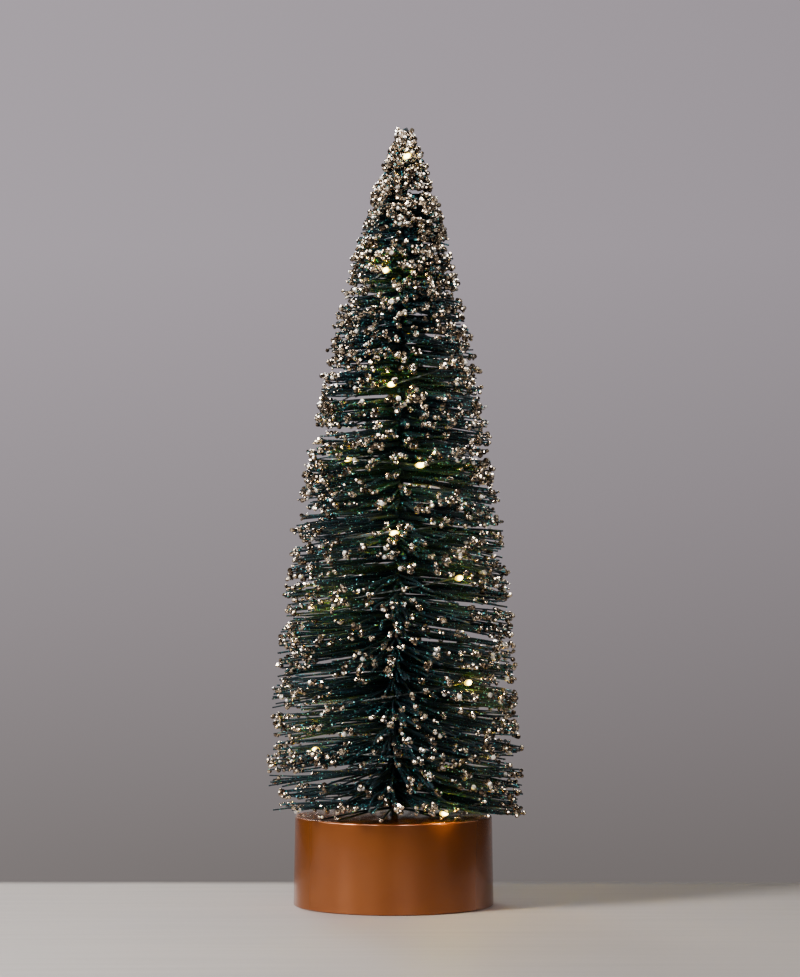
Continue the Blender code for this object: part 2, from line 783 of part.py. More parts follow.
def light_string(tree):
    """The wire leaves the board, comes out behind the trunk and winds up to the tip."""
    first, last = LIGHTS[0][0], LIGHTS[-1][0]
    points = [Vector(point) for point in LEAD_IN]
    count = round((last - first) * STRING_POINTS)
    points += [string_point(first + (last - first) * index / count) for index in range(count + 1)]
    tube("light_string_wire", points, STRING_RADIUS, STRING_WIRE, tree)

    beside = STRING_RADIUS + 2 * GAP + LIGHT_RADIUS
    step = 1 / (4 * STRING_POINTS)
    for number, (turn, _) in enumerate(LIGHTS, 1):
        bm = bmesh.new()
        bmesh.ops.create_uvsphere(bm, u_segments=10, v_segments=7, radius=1)
        shape = Matrix.Diagonal((LIGHT_RADIUS, LIGHT_RADIUS, LIGHT_LENGTH / 2, 1))
        bmesh.ops.transform(bm, matrix=shape, verts=bm.verts)
        name = f"light_{number:02d}"
        light = add(name, mesh_from(name, bm), LIGHT_DROP, tree)
        along = string_point(turn + step) - string_point(turn - step)
        light.location = string_point(turn, beside)
        light.rotation_mode = "QUATERNION"
        light.rotation_quaternion = along.to_track_quat("Z", "Y")


def build():
    tree = lean_frame()
    base_housing(tree)
    bottom_cover()
    battery_door()
    batteries_and_springs()
    contact_plates()
    slide_switch()
    circuit_board()
    hookup_wires()
    cover_screws()
    trunk(tree)
    stem_glue(tree)
    bristles(tree)
    light_string(tree)


build()
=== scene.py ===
"""Looks of a tabletop bottle-brush tree with a string of micro lights on a round copper base.

Laid out as an add-on and run as a script. Metres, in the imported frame: +X to the right, the front
towards -Y, and the base on Z = 0. The tree stands in a leaning frame on the base's top.
"""

from math import cos, pi, radians, sin, tau

import bmesh
import bpy
from bpy.props import FloatProperty, FloatVectorProperty, IntProperty, PointerProperty
from mathutils import Euler, Matrix, Vector


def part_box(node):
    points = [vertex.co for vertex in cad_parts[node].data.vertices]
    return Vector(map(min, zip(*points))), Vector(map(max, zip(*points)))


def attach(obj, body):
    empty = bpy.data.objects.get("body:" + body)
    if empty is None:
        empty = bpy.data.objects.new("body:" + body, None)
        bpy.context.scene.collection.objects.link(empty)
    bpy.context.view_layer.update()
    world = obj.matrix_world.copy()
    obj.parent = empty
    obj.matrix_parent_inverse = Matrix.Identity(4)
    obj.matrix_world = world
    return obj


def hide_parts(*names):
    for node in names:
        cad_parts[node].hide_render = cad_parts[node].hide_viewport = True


bl_info = {
    "name": "Bottle-Brush Tree",
    "version": (1, 0, 0),
    "blender": (4, 5, 0),
    "location": "View3D > Sidebar > Bottle-Brush Tree",
    "description": "Makes a tabletop bottle-brush tree with a string of micro lights",
    "category": "Add Mesh",
}

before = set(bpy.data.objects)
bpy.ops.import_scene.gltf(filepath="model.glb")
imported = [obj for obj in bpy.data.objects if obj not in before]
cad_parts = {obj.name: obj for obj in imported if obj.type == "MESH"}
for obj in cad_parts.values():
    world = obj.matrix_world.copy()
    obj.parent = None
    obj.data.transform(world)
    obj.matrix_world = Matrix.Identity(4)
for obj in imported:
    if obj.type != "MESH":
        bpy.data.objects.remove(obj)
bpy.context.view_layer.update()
HOUSING_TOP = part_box("base_housing")[1]

# CAD nodes of each kind
CELLS = [f"battery_{number}" for number in (1, 2, 3)]
SPRINGS = [f"battery_spring_{number}" for number in (1, 2, 3)]
SCREWS = [f"cover_screw_{number}" for number in (1, 2, 3, 4)]
PLATES = [
    "bridge_plate_left",
    "bridge_plate_right",
    "terminal_plate_positive",
    "terminal_plate_negative",
]

# The housing's inside, in metres
GAP = 0.0003  # between pieces that touch
LIP = 0.0004  # rounding of the edge on the table
SOCKET_RADIUS = 0.0066
GLUE_ROOM = 0.0022  # round the trunk, in its socket
GLUE_CEILING = 0.0042  # from the glue's top to the housing's ceiling
BOSS_RADIUS = 0.0030
BOSS_UNDER = 0.0059
PILOT_RADIUS = 0.0014
PILOT_DEPTH = 0.009
LEAD_HOLE_RADIUS = 0.0015
LEAD_HOLE_BACK = 0.0095  # behind the axis
BITE = 0.0005  # how far a joined shape sinks into its neighbour
THROUGH = 0.001  # how far a cutter runs past the face it opens
RIM_STEPS = 9
CUP_STEPS = 240

# The cover screws' cross recess
SLOT_WIDTH = 0.0006
SLOT_DEPTH = 0.0018
SCREW_SEED = 3

# How the bristles differ from one another, in metres, radians and shares
BUNCH = 8  # bristles rooted next to each other, half of them on each side
FULL_REACH = 0.99
UNEVEN_REACH = 0.018
DEEPEST_CUT = 0.22  # off the reach of the shortest ones
LEAST_REACH = 0.0034
ROOT_OUT = 0.0004  # where a bristle starts, from the trunk's axis
OWN_TURN = 0.50  # each bristle's own way out of its bunch
BUNCH_SWEEP = 0.08  # how far a bunch curls sideways
OWN_SWEEP = 0.04
OWN_SLOPE = 0.030
FRONT_LIFT = 0.0050
TOP_CLEARANCE = 0.0019  # between the lowest bristles and the base's top
ROOT_SAG = 0.72  # share of the fall's slope at the root
END_SAG = 0.28  # and what the end adds to it
WAVES = 5.0  # radians of the wave along a bristle
LEAST_WAVE = 0.0002
MOST_WAVE = 0.0012
STRAND_POINTS = 7
STRAND_SIDES = 6
HIGHEST_ROOT = 0.0014  # under the trunk's tip
BEADED_TOP = 0.085  # the height under the tip over which every bristle comes to have beads

# Bristles fallen on the base's top
FALLEN_START = 0.0022  # from the axis
FALLEN_RISE = 0.0032  # at the trunk
FALLEN_REST = 0.0007  # at the rim
FALLEN_BOW = 0.0012
FALLEN_STEPS = 8
FALLEN_BEADS = 5

# The string of lights
STEPS_IN_TURN = 40
STEPS_IN_TWIST = 9
DROP_STAND = 0.0006  # between the wire and a drop's resin
DROP_SEGMENTS = 20
DROP_RINGS = 14

# The stage. The surround's painted shade is darkest, and its painted light palest, at these heights of
# a direction, as sines
SURROUND = (-0.115, 0.10)
# The floor takes the same tones by its distance from the middle: -PALE_DROP / (distance + PALE_NEAR)
PALE_DROP = 0.158
PALE_NEAR = 1.4
FLOOR_RADIUS = 6.0
TABLE_END = (0.080, 0.096)  # behind the tree the table goes over into the surround
FAR_FLOOR = (0.8, 2.2)  # and it does so all round, this far from the middle
AIM = (0, 0, 0.19)  # where the lights point

# The string's lights, each at (turn, share of the brush's height): turn 0 faces the front
LIGHTS = (
    (-0.917, 0.000),
    (-0.500, 0.040),
    (-0.146, 0.085),
    (0.306, 0.070),
    (0.660, 0.118),
    (1.136, 0.186),
    (1.500, 0.240),
    (1.886, 0.301),
    (2.123, 0.337),
    (2.560, 0.366),
    (2.992, 0.400),
    (3.420, 0.455),
    (3.879, 0.507),
    (4.043, 0.499),
    (4.500, 0.557),
    (4.978, 0.616),
    (5.450, 0.697),
    (5.940, 0.784),
    (6.480, 0.872),
    (7.017, 0.956),
)
# The wire before the first light, in the leaning frame, with heights from the base's top
LEAD_IN = (
    (0.0010, 0.0310, -0.0275),
    (0.0010, 0.0305, -0.0200),
    (0.0008, 0.0280, -0.0138),
    (0.0004, 0.0220, -0.0100),
    (0.0000, 0.0140, -0.0075),
    (0.0000, 0.0095, -0.0040),
    (0.0000, 0.0095, -0.0005),
    (0.0012, 0.0088, 0.0014),
    (0.0050, 0.0065, 0.0021),
    (0.0100, 0.0010, 0.0023),
    (0.0150, -0.0090, 0.0025),
    (0.0185, -0.0200, 0.0028),
    (0.0205, -0.0300, 0.0036),
)
# Bristles that have come down onto the base's top: how far out each ends, and its turn
FALLEN = (
    (0.0436, -0.130),
    (0.0425, -0.098),
    (0.0434, -0.020),
    (0.0367, 0.099),
    (0.0420, 0.118),
    (0.0415, 0.360),
    (0.0425, 0.610),
)


def length_property(name, description, default, least=0.00001, most=1.0):
    return FloatProperty(
        name=name,
        description=description,
        default=default,
        min=least,
        max=most,
        subtype="DISTANCE",
        unit="LENGTH",
        precision=5,
    )


def number_property(name, description, default, **limits):
    return FloatProperty(name=name, description=description, default=default, **limits)


def count_property(name, description, default, **limits):
    return IntProperty(name=name, description=description, default=default, **limits)


def angle_property(name, description, default):
    kind = {"subtype": "ANGLE", "unit": "ROTATION"}
    return FloatProperty(name=name, description=description, default=default, **kind)


def colour_property(name, description, default):
    return FloatVectorProperty(
        name=name,
        description=description,
        default=default,
        min=0.0,
        max=1.0,
        size=3,
        subtype="COLOR",
    )


class BaseSettings(bpy.types.PropertyGroup):
    """The round base that the tree stands in."""

    radius: length_property("Radius", "Radius at the table", HOUSING_TOP.x)
    height: length_property("Height", "From the table to the flat top", HOUSING_TOP.z)
    draft: length_property("Draft", "How much smaller the top is in radius", 0.0007)
    wall: length_property("Wall", "Thickness of the side", 0.0020)
    top: length_property("Top", "Thickness of the top", 0.0022)
    rim: length_property("Rim Rounding", "Radius of the rounded top rim", 0.0010)
    copper: colour_property("Copper", "Colour of the copper finish", (0.225, 0.060, 0.005))
    plastic: colour_property("Plastic", "Colour of the cover under the base", (0.018, 0.018, 0.02))


class TrunkSettings(bpy.types.PropertyGroup):
    """The two twisted wires that hold the bristles."""

    tip: length_property("Tip Height", "From the table to the tip", 0.350)
    foot: length_property("Foot Height", "From the table to the lower end, in its socket", 0.0241)
    lean: angle_property("Lean", "How far the trunk tips towards +X", radians(1.0))
    strand_radius: length_property("Wire Radius", "Radius of each wire", 0.00112)
    pitch: length_property("Pitch", "Height of one turn of the twist", 0.0140)
    gap: length_property("Gap", "Between the two wires", 0.0003)


class BrushSettings(bpy.types.PropertyGroup):
    """Bristles, and the glitter on them."""

    radius: length_property("Radius", "Radius of the brush at its bottom", 0.0583)
    bottom: length_property("Bottom", "From the table to the lowest bristles", 0.0445)
    fullness: number_property("Fullness", "How long the sides stay wide", 1.6, min=0.5, max=4.0)
    bluntness: number_property("Bluntness", "How blunt the tip is", 0.74, min=0.3, max=1.5)
    count: count_property("Bristles", "Number of bristles", 4400, min=10)
    thickness: length_property("Thickness", "Thickness of a bristle", 0.00096)
    spread: angle_property("Spread", "How far a bunch turns out of the twist", 1.30)
    droop: number_property("Droop", "How far a bristle falls for its length", 0.082, min=0.0, max=1.0)
    unevenness: number_property("Unevenness", "Change of slope between bunches", 0.04, min=0.0, max=1.0)
    flakes: count_property("Flakes", "Number of glitter flakes", 80000, min=10)
    flake_size: length_property("Flake Size", "Size of a glitter flake", 0.00066)
    seed: count_property("Seed", "Random seed of the brush", 7)
    colour: colour_property("Bristle", "Colour of the bristles", (0.0008, 0.0095, 0.0160))
    glitter: colour_property("Glitter", "Colour of the glitter", (0.02, 0.50, 0.60))


class BeadSettings(bpy.types.PropertyGroup):
    """Clusters of glass beads at the bristles' ends."""

    each: count_property("Beads", "Beads in a cluster", 6, min=1)
    share: number_property("Share", "Share of the bristles with a cluster", 0.58, min=0.0, max=1.0)
    smallest: length_property("Smallest", "Radius of the smallest bead", 0.00048)
    largest: length_property("Largest", "Radius of the largest bead", 0.00128)
    reach: length_property("Cluster Length", "Length of bristle that a cluster covers", 0.0050)
    bands: count_property("Bands", "Pieces that the beads are made in", 8, min=1)
    colour: colour_property("Glass", "Colour of the beads", (0.56, 0.45, 0.32))


class StringSettings(bpy.types.PropertyGroup):
    """The string of lights wound up the tree."""

    depth: number_property("Depth", "Share of the brush's radius at which it lies", 0.72)
    radius: length_property("Wire Radius", "Radius of the twisted pair", 0.0005)
    twist: length_property("Twist", "Length of one turn of the pair", 0.0070)
    light_radius: length_property("Light Radius", "Radius of a light's drop", 0.0013)
    light_length: length_property("Light Length", "Length of a light's drop", 0.0045)
    light_colour: colour_property("Light", "Colour of the light", (1.0, 0.68, 0.02))
    strength: number_property("Strength", "Brightness of a drop", 26.0, min=0.0)
    glow: number_property("Glow", "Power of the light that each one throws round it", 0.05, min=0.0)
    enamel: colour_property("Enamel", "Colour of the wire", (0.003, 0.010, 0.008))


class InsideSettings(bpy.types.PropertyGroup):
    """Batteries, springs and screws in the base."""

    cell_diameter: length_property("Cell Diameter", "Diameter of a battery", 0.0145)
    cell_length: length_property("Cell Length", "Length of a battery with its button", 0.0505)
    button_length: length_property("Button Length", "Length of the button", 0.0011)
    button_diameter: length_property("Button Diameter", "Diameter of the button", 0.0055)
    spring_wire: length_property("Spring Wire", "Thickness of the spring's wire", 0.0007)
    spring_radius: length_property("Spring Radius", "Radius of a spring at its plate", 0.0037)
    spring_tip: length_property("Spring Tip", "Radius of a spring at the battery", 0.0022)
    spring_turns: count_property("Spring Turns", "Turns of a spring", 3)
    sleeve: colour_property("Sleeve", "Colour of the batteries' sleeve", (0.012, 0.03, 0.07))


class StageSettings(bpy.types.PropertyGroup):
    """Floor, lights and camera."""

    distance: length_property("Camera Distance", "From the axis to the camera", 1.3753, most=10)
    camera_height: length_property("Camera Height", "From the table to the camera", 0.1579)
    camera_side: length_property("Camera Side", "Camera to the right of the axis", 0.0029, least=-1)
    tilt: angle_property("Tilt", "How far the camera looks up", 0.0212786)
    lens: number_property("Lens", "Focal length in millimetres", 112.25)
    table: colour_property("Table", "Colour of the table", (0.44, 0.395, 0.38))
    # The backdrop's painted light and shade runs between these two colours, darker low down and lighter
    # high up
    wall_low: colour_property("Backdrop Low", "Backdrop's colour, low down", (0.175, 0.157, 0.150))
    wall_high: colour_property("Backdrop High", "Backdrop's colour, high up", (0.420, 0.372, 0.410))
    key: number_property("Key Light", "Power of the main light", 70.0)
    fill: number_property("Fill Light", "Power of the fill light", 4.0)
    sparkle: number_property("Sparkle Lights", "Power of each light that only makes highlights", 27.0)
    room: number_property("Room Light", "Strength of the light from all round", 0.14)


# Meshes and objects


def settings():
    return bpy.context.scene.bottle_brush_tree


def new_object(name, data):
    """An object in the scene, at the origin."""
    made = bpy.data.objects.new(name, data)
    bpy.context.scene.collection.objects.link(made)
    return made


def add_piece(name, mesh, finish=None, stands_for=()):
    """A finished piece of the object, with its place in its mesh."""
    piece = new_object(name, mesh)
    if finish is not None:
        mesh.materials.clear()
        mesh.materials.append(finish)
    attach(piece, "root")
    if stands_for:
        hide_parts(*stands_for)
    return piece


def refinish(material, *names):
    """A new material on CAD nodes, whose shapes stay."""
    for name in names:
        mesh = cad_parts[name].data
        mesh.materials.clear()
        mesh.materials.append(material)


def mesh_of(name, bm):
    mesh = bpy.data.meshes.new(name)
    bm.to_mesh(mesh)
    bm.free()
    return mesh


def evaluated_mesh(obj, name):
    """A plain mesh of what the object's modifiers make, with the object removed."""
    bpy.context.view_layer.update()
    graph = bpy.context.evaluated_depsgraph_get()
    mesh = bpy.data.meshes.new_from_object(obj.evaluated_get(graph), depsgraph=graph)
    mesh.name = name
    bpy.data.objects.remove(obj)
    return mesh


def grown(name, nodes, values, source=None):
    """The plain mesh that a Geometry Nodes tree makes from a source mesh or curve."""
    data = source or bpy.data.meshes.new(name)
    carrier = new_object(name + "_carrier", data)
    modifier = carrier.modifiers.new("grow", "NODES")
    modifier.node_group = nodes.tree
    for socket in nodes.tree.interface.items_tree:
        if socket.item_type == "SOCKET" and socket.in_out == "INPUT" and socket.name in values:
            modifier[socket.identifier] = values[socket.name]
    return evaluated_mesh(carrier, name)


def poly_curve(name, runs):
    """A curve that goes straight from point to point, with a spline for each run."""
    curve = bpy.data.curves.new(name, "CURVE")
    curve.dimensions = "3D"
    for run in runs:
        spline = curve.splines.new("POLY")
        spline.points.add(len(run) - 1)
        for target, point in zip(spline.points, run):
            target.co = (*point, 1)
    return curve


def turned_mesh(name, profile, steps):
    """A closed profile of (radius, height) points turned about Z, facing outwards."""
    bm = bmesh.new()
    rings = []
    for radius, height in profile:
        if radius <= 0:
            rings.append([bm.verts.new((0, 0, height))])
        else:
            turns = [tau * k / steps for k in range(steps)]
            rings.append([bm.verts.new((radius * cos(a), radius * sin(a), height)) for a in turns])
    for low, high in zip(rings, rings[1:] + rings[:1]):
        if len(low) == 1 and len(high) == 1:
            continue
        for k in range(steps):
            following = (k + 1) % steps
            if len(low) == 1:
                bm.faces.new((low[0], high[following], high[k]))
            elif len(high) == 1:
                bm.faces.new((low[k], low[following], high[0]))
            else:
                bm.faces.new((low[k], low[following], high[following], high[k]))
    bmesh.ops.recalc_face_normals(bm, faces=bm.faces)
    return mesh_of(name, bm)


def cylinders_mesh(name, radius, low, high, places, steps=48):
    bm = bmesh.new()
    for x, y in places:
        bmesh.ops.create_cone(
            bm,
            cap_ends=True,
            segments=steps,
            radius1=radius,
            radius2=radius,
            depth=high - low,
            matrix=Matrix.Translation((x, y, (low + high) / 2)),
        )
    return mesh_of(name, bm)


def carved(name, mesh, joins=(), cuts=(), smooth_below=radians(32)):
    """A mesh with others joined to it and cut from it."""
    body = new_object(name + "_blank", mesh)
    tools = []
    for operation, meshes in (("UNION", joins), ("DIFFERENCE", cuts)):
        for tool_mesh in meshes:
            tool = new_object(tool_mesh.name, tool_mesh)
            tools.append(tool)
            modifier = body.modifiers.new(tool_mesh.name, "BOOLEAN")
            modifier.operation = operation
            modifier.object = tool
    made = evaluated_mesh(body, name)
    for tool in tools:
        bpy.data.objects.remove(tool)
    smooth_by_angle(made, smooth_below)
    return made


def smooth_by_angle(mesh, angle):
    mesh.polygons.foreach_set("use_smooth", [True] * len(mesh.polygons))
    mesh.set_sharp_from_angle(angle=angle)


def lean_matrix():
    """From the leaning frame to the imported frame."""
    base = settings().base
    return Matrix.Translation((0, 0, base.height)) @ Matrix.Rotation(settings().trunk.lean, 4, "Y")


# Node trees


class Nodes:
    """A node tree being put together: each call adds a node and returns what comes out of it."""

    def __init__(self, tree):
        self.tree = tree

    def put(self, socket, value):
        if isinstance(value, bpy.types.NodeSocket):
            self.tree.links.new(value, socket)
        elif value is not None:
            socket.default_value = value

    def node(self, kind, values=(), **choices):
        """A node with its choices made, and its sockets set or linked by index or name."""
        made = self.tree.nodes.new(kind)
        for name, value in choices.items():
            setattr(made, name, value)
        for key, value in dict(values).items():
            self.put(made.inputs[key], value)
        return made

    def math(self, operation, *values):
        return self.node("ShaderNodeMath", enumerate(values), operation=operation).outputs[0]

    def plus(self, first, second):
        return self.math("ADD", first, second)

    def minus(self, first, second):
        return self.math("SUBTRACT", first, second)

    def times(self, first, second):
        return self.math("MULTIPLY", first, second)

    def over(self, first, second):
        return self.math("DIVIDE", first, second)

    def vector(self, operation, *values):
        made = self.node("ShaderNodeVectorMath", enumerate(values), operation=operation)
        return made.outputs["Value" if operation == "LENGTH" else "Vector"]

    def scaled(self, vector, factor):
        made = self.node("ShaderNodeVectorMath", {0: vector, "Scale": factor}, operation="SCALE")
        return made.outputs["Vector"]

    def combine(self, x, y, z):
        return self.node("ShaderNodeCombineXYZ", {0: x, 1: y, 2: z}).outputs[0]

    def span(self, value, low, high, first, last):
        """Value moved from low..high to first..last, and held at its ends."""
        values = {0: value, 1: low, 2: high, 3: first, 4: last}
        return self.node("ShaderNodeMapRange", values, clamp=True).outputs[0]


def sockets(kind, *labels):
    return [(label, kind) for label in labels]


GEOMETRY = ("Geometry", "Geometry")


class GrowTree(Nodes):
    """A Geometry Nodes tree with named inputs."""

    def __init__(self, name, inputs, outputs=(GEOMETRY,)):
        super().__init__(bpy.data.node_groups.new(name, "GeometryNodeTree"))
        for label, kind in inputs:
            self.tree.interface.new_socket(label, in_out="INPUT", socket_type="NodeSocket" + kind)
        for label, kind in outputs:
            self.tree.interface.new_socket(label, in_out="OUTPUT", socket_type="NodeSocket" + kind)
        self.given = self.tree.nodes.new("NodeGroupInput")
        self.result = self.tree.nodes.new("NodeGroupOutput")

    def __getitem__(self, label):
        return self.given.outputs[label]

    def random(self, low, high, key, seed):
        """A random number for each key. Every draw has a seed of its own."""
        values = {2: low, 3: high, 7: key, 8: seed}
        return self.node("FunctionNodeRandomValue", values, data_type="FLOAT").outputs[1]

    def random_vector(self, low, high, key, seed):
        values = {0: (low,) * 3, 1: (high,) * 3, 7: key, 8: seed}
        return self.node("FunctionNodeRandomValue", values, data_type="FLOAT_VECTOR").outputs[0]

    def rotation(self, angles):
        return self.node("FunctionNodeEulerToRotation", {0: angles}).outputs[0]

    def even(self, size):
        """The same size along each axis."""
        return self.combine(size, size, size)

    def ball(self, segments, rings):
        values = {"Segments": segments, "Rings": rings, "Radius": 1.0}
        return self.node("GeometryNodeMeshUVSphere", values).outputs[0]

    def shape(self, label):
        """What an object given as an input looks like."""
        return self.node("GeometryNodeObjectInfo", {0: self[label]}).outputs["Geometry"]

    def index(self):
        return self.node("GeometryNodeInputIndex").outputs[0]

    def points(self, count):
        return self.node("GeometryNodePoints", {0: count}).outputs[0]

    def moved(self, geometry, position=None, offset=None, selection=None):
        values = {0: geometry, 1: selection, 2: position, 3: offset}
        return self.node("GeometryNodeSetPosition", values).outputs[0]

    def marked(self, geometry, name, value):
        """A number kept on each point, which a material can read."""
        values = {0: geometry, "Name": name, "Value": value}
        made = self.node("GeometryNodeStoreNamedAttribute", values, data_type="FLOAT", domain="POINT")
        return made.outputs[0]

    def mark(self, name):
        values = {"Name": name}
        return self.node("GeometryNodeInputNamedAttribute", values, data_type="FLOAT").outputs[0]

    def scattered(self, points, shape, rotation=None, scale=None, selection=None):
        values = {0: points, 1: selection, 2: shape, 5: rotation, 6: scale}
        made = self.node("GeometryNodeInstanceOnPoints", values).outputs[0]
        return self.node("GeometryNodeRealizeInstances", {0: made}).outputs[0]

    def tube(self, curve, radius, sides, scale=None):
        ring = self.node("GeometryNodeCurvePrimitiveCircle", {"Resolution": sides, "Radius": radius})
        values = {"Curve": curve, "Profile Curve": ring.outputs[0], "Fill Caps": True, "Scale": scale}
        return self.node("GeometryNodeCurveToMesh", values).outputs[0]

    def joined(self, *geometries):
        made = self.tree.nodes.new("GeometryNodeJoinGeometry")
        for geometry in geometries:
            self.tree.links.new(geometry, made.inputs[0])
        return made.outputs[0]

    def finish(self, geometry, material, smooth=True):
        whole = self.node("GeometryNodeRealizeInstances", {0: geometry}).outputs[0]
        shaded = self.node("GeometryNodeSetShadeSmooth", {0: whole, 2: smooth}).outputs[0]
        coated = self.node("GeometryNodeSetMaterial", {0: shaded, 2: material}).outputs[0]
        self.put(self.result.inputs[0], coated)
        return self


def finish_material(name, base, roughness, metallic=0.0):
    """A material with its shader, ready for its pattern."""
    made = bpy.data.materials.new(name)
    made.use_nodes = True
    made.diffuse_color = (*base, 1)
    nodes = Nodes(made.node_tree)
    shader = made.node_tree.nodes["Principled BSDF"]
    shader.inputs["Base Color"].default_value = (*base, 1)
    shader.inputs["Roughness"].default_value = roughness
    shader.inputs["Metallic"].default_value = metallic
    return made, nodes, shader


def shade(colour, factor):
    return tuple(c * factor for c in colour)


def attribute(nodes, name):
    """A number that each point of the mesh carries."""
    return nodes.node("ShaderNodeAttribute", attribute_name=name).outputs["Fac"]


def object_place(nodes, scale=(1, 1, 1)):
    place = nodes.node("ShaderNodeTexCoord").outputs["Object"]
    return nodes.node("ShaderNodeMapping", {"Vector": place, "Scale": scale}).outputs[0]


def noise(nodes, place, scale, detail=2.0, rough=0.5):
    values = {"Vector": place, "Scale": scale, "Detail": detail, "Roughness": rough}
    return nodes.node("ShaderNodeTexNoise", values).outputs["Fac"]


def blended(nodes, factor, first, second):
    """Two colours mixed."""
    first, second = (
        value if isinstance(value, bpy.types.NodeSocket) else (*value, 1) for value in (first, second)
    )
    values = {0: factor, 6: first, 7: second}
    return nodes.node("ShaderNodeMix", values, data_type="RGBA").outputs[2]


def bumped(nodes, shader, height, distance, strength=1.0):
    values = {"Height": height, "Distance": distance, "Strength": strength}
    nodes.put(shader.inputs["Normal"], nodes.node("ShaderNodeBump", values).outputs[0])


def moulded_plastic(name, colour, roughness):
    """Plastic with a fine spark-eroded texture and slight handling marks."""
    made, nodes, shader = finish_material(name, colour, roughness)
    place = object_place(nodes)
    grain = noise(nodes, place, 3200, 3)
    wear = noise(nodes, place, 90, 4)
    light = tuple(min(1, c * 1.5 + 0.004) for c in colour)
    worn = nodes.span(wear, 0.35, 0.7, 0, 1)
    nodes.put(shader.inputs["Base Color"], blended(nodes, worn, colour, light))
    rubbed = nodes.span(wear, 0.3, 0.7, roughness - 0.06, roughness + 0.1)
    nodes.put(shader.inputs["Roughness"], rubbed)
    bumped(nodes, shader, grain, 0.00004, 0.6)
    return made


def worn_metal(name, colour, roughness):
    """Bare or plated metal with fine scratches and dull patches."""
    made, nodes, shader = finish_material(name, colour, roughness, 1.0)
    scratches = noise(nodes, object_place(nodes), 1400, 3, 0.6)
    patches = noise(nodes, object_place(nodes), 260, 3)
    dulled = nodes.span(patches, 0.4, 0.75, 0, 1)
    nodes.put(shader.inputs["Base Color"], blended(nodes, dulled, colour, shade(colour, 0.72)))
    nodes.put(shader.inputs["Roughness"], nodes.span(patches, 0.3, 0.7, roughness, roughness + 0.18))
    bumped(nodes, shader, scratches, 0.00003, 0.5)
    return made


# The base


def copper_finish(colour):
    """Glossy copper-coloured plating, very slightly uneven, with faint marks from handling."""
    made, nodes, shader = finish_material("copper_gloss", colour, 0.24, 0.55)
    place = object_place(nodes)
    cloud = noise(nodes, place, 38, 3)
    marks = noise(nodes, object_place(nodes, (1, 1, 0.25)), 620, 4, 0.65)
    deep = tuple(c * f for c, f in zip(colour, (0.86, 0.80, 0.74)))
    clouded = nodes.span(cloud, 0.35, 0.7, 0, 1)
    nodes.put(shader.inputs["Base Color"], blended(nodes, clouded, colour, deep))
    nodes.put(shader.inputs["Roughness"], nodes.span(marks, 0.35, 0.72, 0.22, 0.25))
    shader.inputs["Coat Weight"].default_value = 0.22
    shader.inputs["Coat Roughness"].default_value = 0.05
    bumped(nodes, shader, cloud, 0.00025, 0.5)
    return made


def housing_mesh(base):
    """A cup with its mouth down, with the trunk's socket, the lead hole and four screw bosses."""
    trunk = settings().trunk
    inside = base.radius - base.draft - base.wall
    ceiling = base.height - base.top
    top_radius = base.radius - base.draft
    rim = [
        (
            top_radius - base.rim + base.rim * cos(pi / 2 * k / RIM_STEPS),
            base.height - base.rim + base.rim * sin(pi / 2 * k / RIM_STEPS),
        )
        for k in range(RIM_STEPS + 1)
    ]
    profile = [
        (base.radius - base.wall, LIP),
        (base.radius - base.wall + LIP, 0),
        (base.radius - LIP, 0),
        (base.radius, LIP),
        *rim,
        (0, base.height),
        (0, ceiling),
        (inside, ceiling),
    ]
    bosses = [tuple(sum(c) / 2 for c in zip(*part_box(name)))[:2] for name in SCREWS]
    socket_under = trunk.foot - GAP
    bore_under = socket_under - THROUGH
    over_top = base.height + THROUGH
    trunk_radius = 2 * trunk.strand_radius + GAP / 2
    axis = [(0, 0)]
    lead_hole = [(0, LEAD_HOLE_BACK)]
    glue_top = ceiling - GLUE_CEILING
    pilot_top = BOSS_UNDER + PILOT_DEPTH
    joins = (
        cylinders_mesh("socket", SOCKET_RADIUS, socket_under, ceiling + BITE, axis),
        cylinders_mesh("bosses", BOSS_RADIUS, BOSS_UNDER, ceiling + BITE, bosses),
    )
    bores = (
        cylinders_mesh("stem_bore", trunk_radius + GAP, bore_under, over_top, axis),
        cylinders_mesh("glue_bore", trunk_radius + GLUE_ROOM, bore_under, glue_top, axis),
    )
    holes = (
        cylinders_mesh("lead_hole", LEAD_HOLE_RADIUS, ceiling - THROUGH, over_top, lead_hole, 32),
        cylinders_mesh("pilots", PILOT_RADIUS, BOSS_UNDER - THROUGH, pilot_top, bosses, 24),
    )
    for mesh in bores:
        mesh.transform(lean_matrix() @ Matrix.Translation((0, 0, -base.height)))
    return carved("copper_base", turned_mesh("cup", profile, CUP_STEPS), joins, (*bores, *holes))


class TREE_OT_base(bpy.types.Operator):
    """Makes the glossy copper base and finishes its cover and door"""

    bl_idname = "bottle_brush.base"
    bl_label = "Base"

    def execute(self, context):
        base = settings().base
        copper = copper_finish(tuple(base.copper))
        add_piece("copper_base", housing_mesh(base), copper, ["base_housing"])
        plastic = moulded_plastic("cover_plastic", tuple(base.plastic), 0.5)
        refinish(plastic, "bottom_cover", "battery_door")
        return {"FINISHED"}


# What is inside the base


